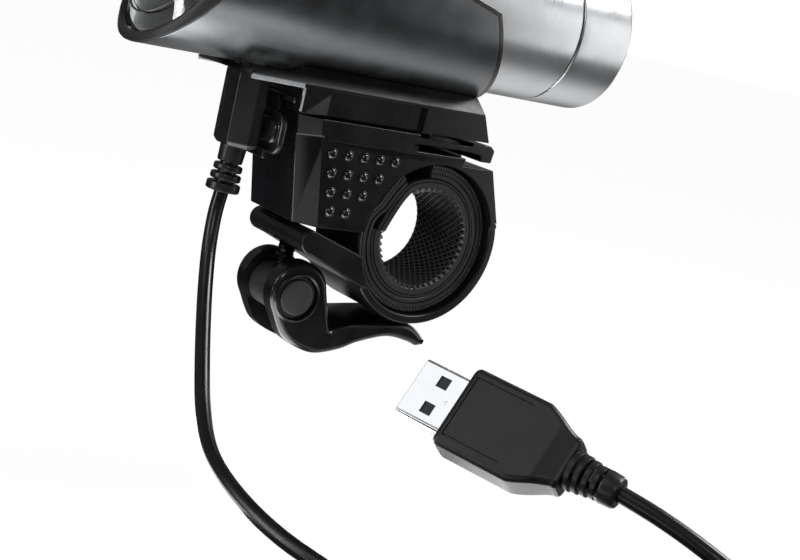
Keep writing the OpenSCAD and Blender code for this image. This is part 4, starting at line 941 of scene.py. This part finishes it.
# Emitter and its board, slug, wires, driver, contacts and cell: the lamp's works inside the tube.
# They are fixed pieces of common electronics materials.
dress("heat_sink", aluminium)
dress("led_board", moulded("white_solder_mask", "#dfe0dc", "#e9eae6", 0.4, 0.5, 0.01))
dress("led_emitter", moulded("phosphor_silicone", "#e2c23a", "#efd66a", 0.35, 0.4, 0.01))
dress("led_wires", moulded("pvc_wire_insulation", "#8e2422", "#a23430", 0.4, 0.5, 0.01))
dress("front_contact", gold)
dress("cell_carrier", abs_black)
dress("cell", moulded("shrink_wrap", "#2a5d97", "#3570ad", 0.3, 1.5, 0.02))
dress("tact_switch", nickel)


def circuit_board(name, mask, trace, pitch):
    """Glass-epoxy board: solder mask over copper tracks that show as slightly lighter lines."""
    material, tree, place = new_material(name)
    tracks = add_node(tree, "TexBrick", {"Vector": place, "Scale": 1 / pitch, "Color1": linear(mask),
        "Color2": linear(mask), "Mortar": linear(trace), "Mortar Size": 0.08})
    bump = add_node(tree, "Bump", {"Height": tracks.outputs["Fac"], "Distance": 0.03 * mm})
    shader = add_node(tree, "BsdfPrincipled", {"Base Color": tracks.outputs["Color"], "Roughness": 0.35,
        "Normal": bump})
    add_node(tree, "OutputMaterial", {"Surface": shader})
    return material


green_board = circuit_board("green_glass_epoxy", "#1c4f2e", "#2f7044", 4 * mm)
for node in ("driver_board", "switch_board", "charging_board"):
    dress(node, green_board)
spring_low, spring_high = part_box("tail_spring")
spring_wire = 0.55 * mm
spring = grown(bpy.data.meshes.new("spring"), wound_coil,
    {"Turns": 5.0, "Length": spring_high.x - spring_low.x - 2 * spring_wire,
    "First radius": 8.2 * mm - spring_wire, "Last radius": 4 * mm - spring_wire, "Wire radius": spring_wire,
    "Steps": 32, "Sides": 10, "Material": nickel})
spring.transform(Matrix.Translation((spring_low.x + spring_wire, 0, lamp_z * mm)) @ turned(90, "Y"))
place_piece("tail_spring_wound", spring, nickel, "tail", "zinc_steel", "tail_spring")

# Power button: a black rubber cap, moulded in TPE. It sits in a hole in the top of the tube and
# presses a switch below.
place_piece("button_cap", rounded(merged("power_button"), 0.3 * mm), tpe, "button", "black_rubber",
    "power_button")

# Dust flap: a soft rubber flap, moulded in TPE, that hangs open in front of the block while the lamp
# charges. A strap joins it to a bead, on which it swings.
flap_axis = (41.1, 26.7)
flap_half, flap_low, flap_high = 9.7, 14.3, 23.6
flap_mid, flap_tall = (flap_low + flap_high) / 2, (flap_high - flap_low) / 2
flap_rows = []
for x, inset, corner in ((42.2, 0.5, 2.6), (42.32, 0.15, 2.9), (42.6, 0, 3.0), (43.2, 0, 3.0),
        (43.48, 0.12, 2.9), (43.6, 0.4, 2.7), (43.5, 0.75, 2.4), (43.0, 0.95, 2.3), (42.95, 1.9, 1.8),
        (43.1, 2.1, 1.8), (43.6, 2.2, 1.8), (43.88, 2.4, 1.7), (44.0, 2.8, 1.5), (44.0, 3.8, 0.9)):
    flap_rows.append([Vector((x, y, flap_mid + z)) * mm
        for y, z in rounded_rectangle(flap_half - inset, flap_tall - inset, corner)])
flap_bead = spun([(-flap_half + 0.1, 0.02), (-flap_half, 0.6), (0.3 - flap_half, 0.9), (flap_half - 0.3, 0.9),
    (flap_half, 0.6), (flap_half - 0.1, 0.02)], metres @ Matrix.Translation((flap_axis[0], 0, flap_axis[1]))
    @ turned(90, "Z"), 24)
strap_half = 5.2
flap_neck = joined(block((flap_axis[0], -strap_half, 26.2), (42.7, strap_half, 27.1)),
    block((42.2, -strap_half, 22.8), (43, strap_half, 27.05)))
flap_tab = rounded(block((42.4, -4, 12.7), (43.4, 4, 15)), 0.35 * mm, 3)
flap_mesh = joined(plain_mesh(*skin(flap_rows)), plain_mesh(*flap_bead), flap_neck, flap_tab)
place_piece("flap_moulded", flap_mesh, tpe, "flap", "black_rubber", "dust_flap")
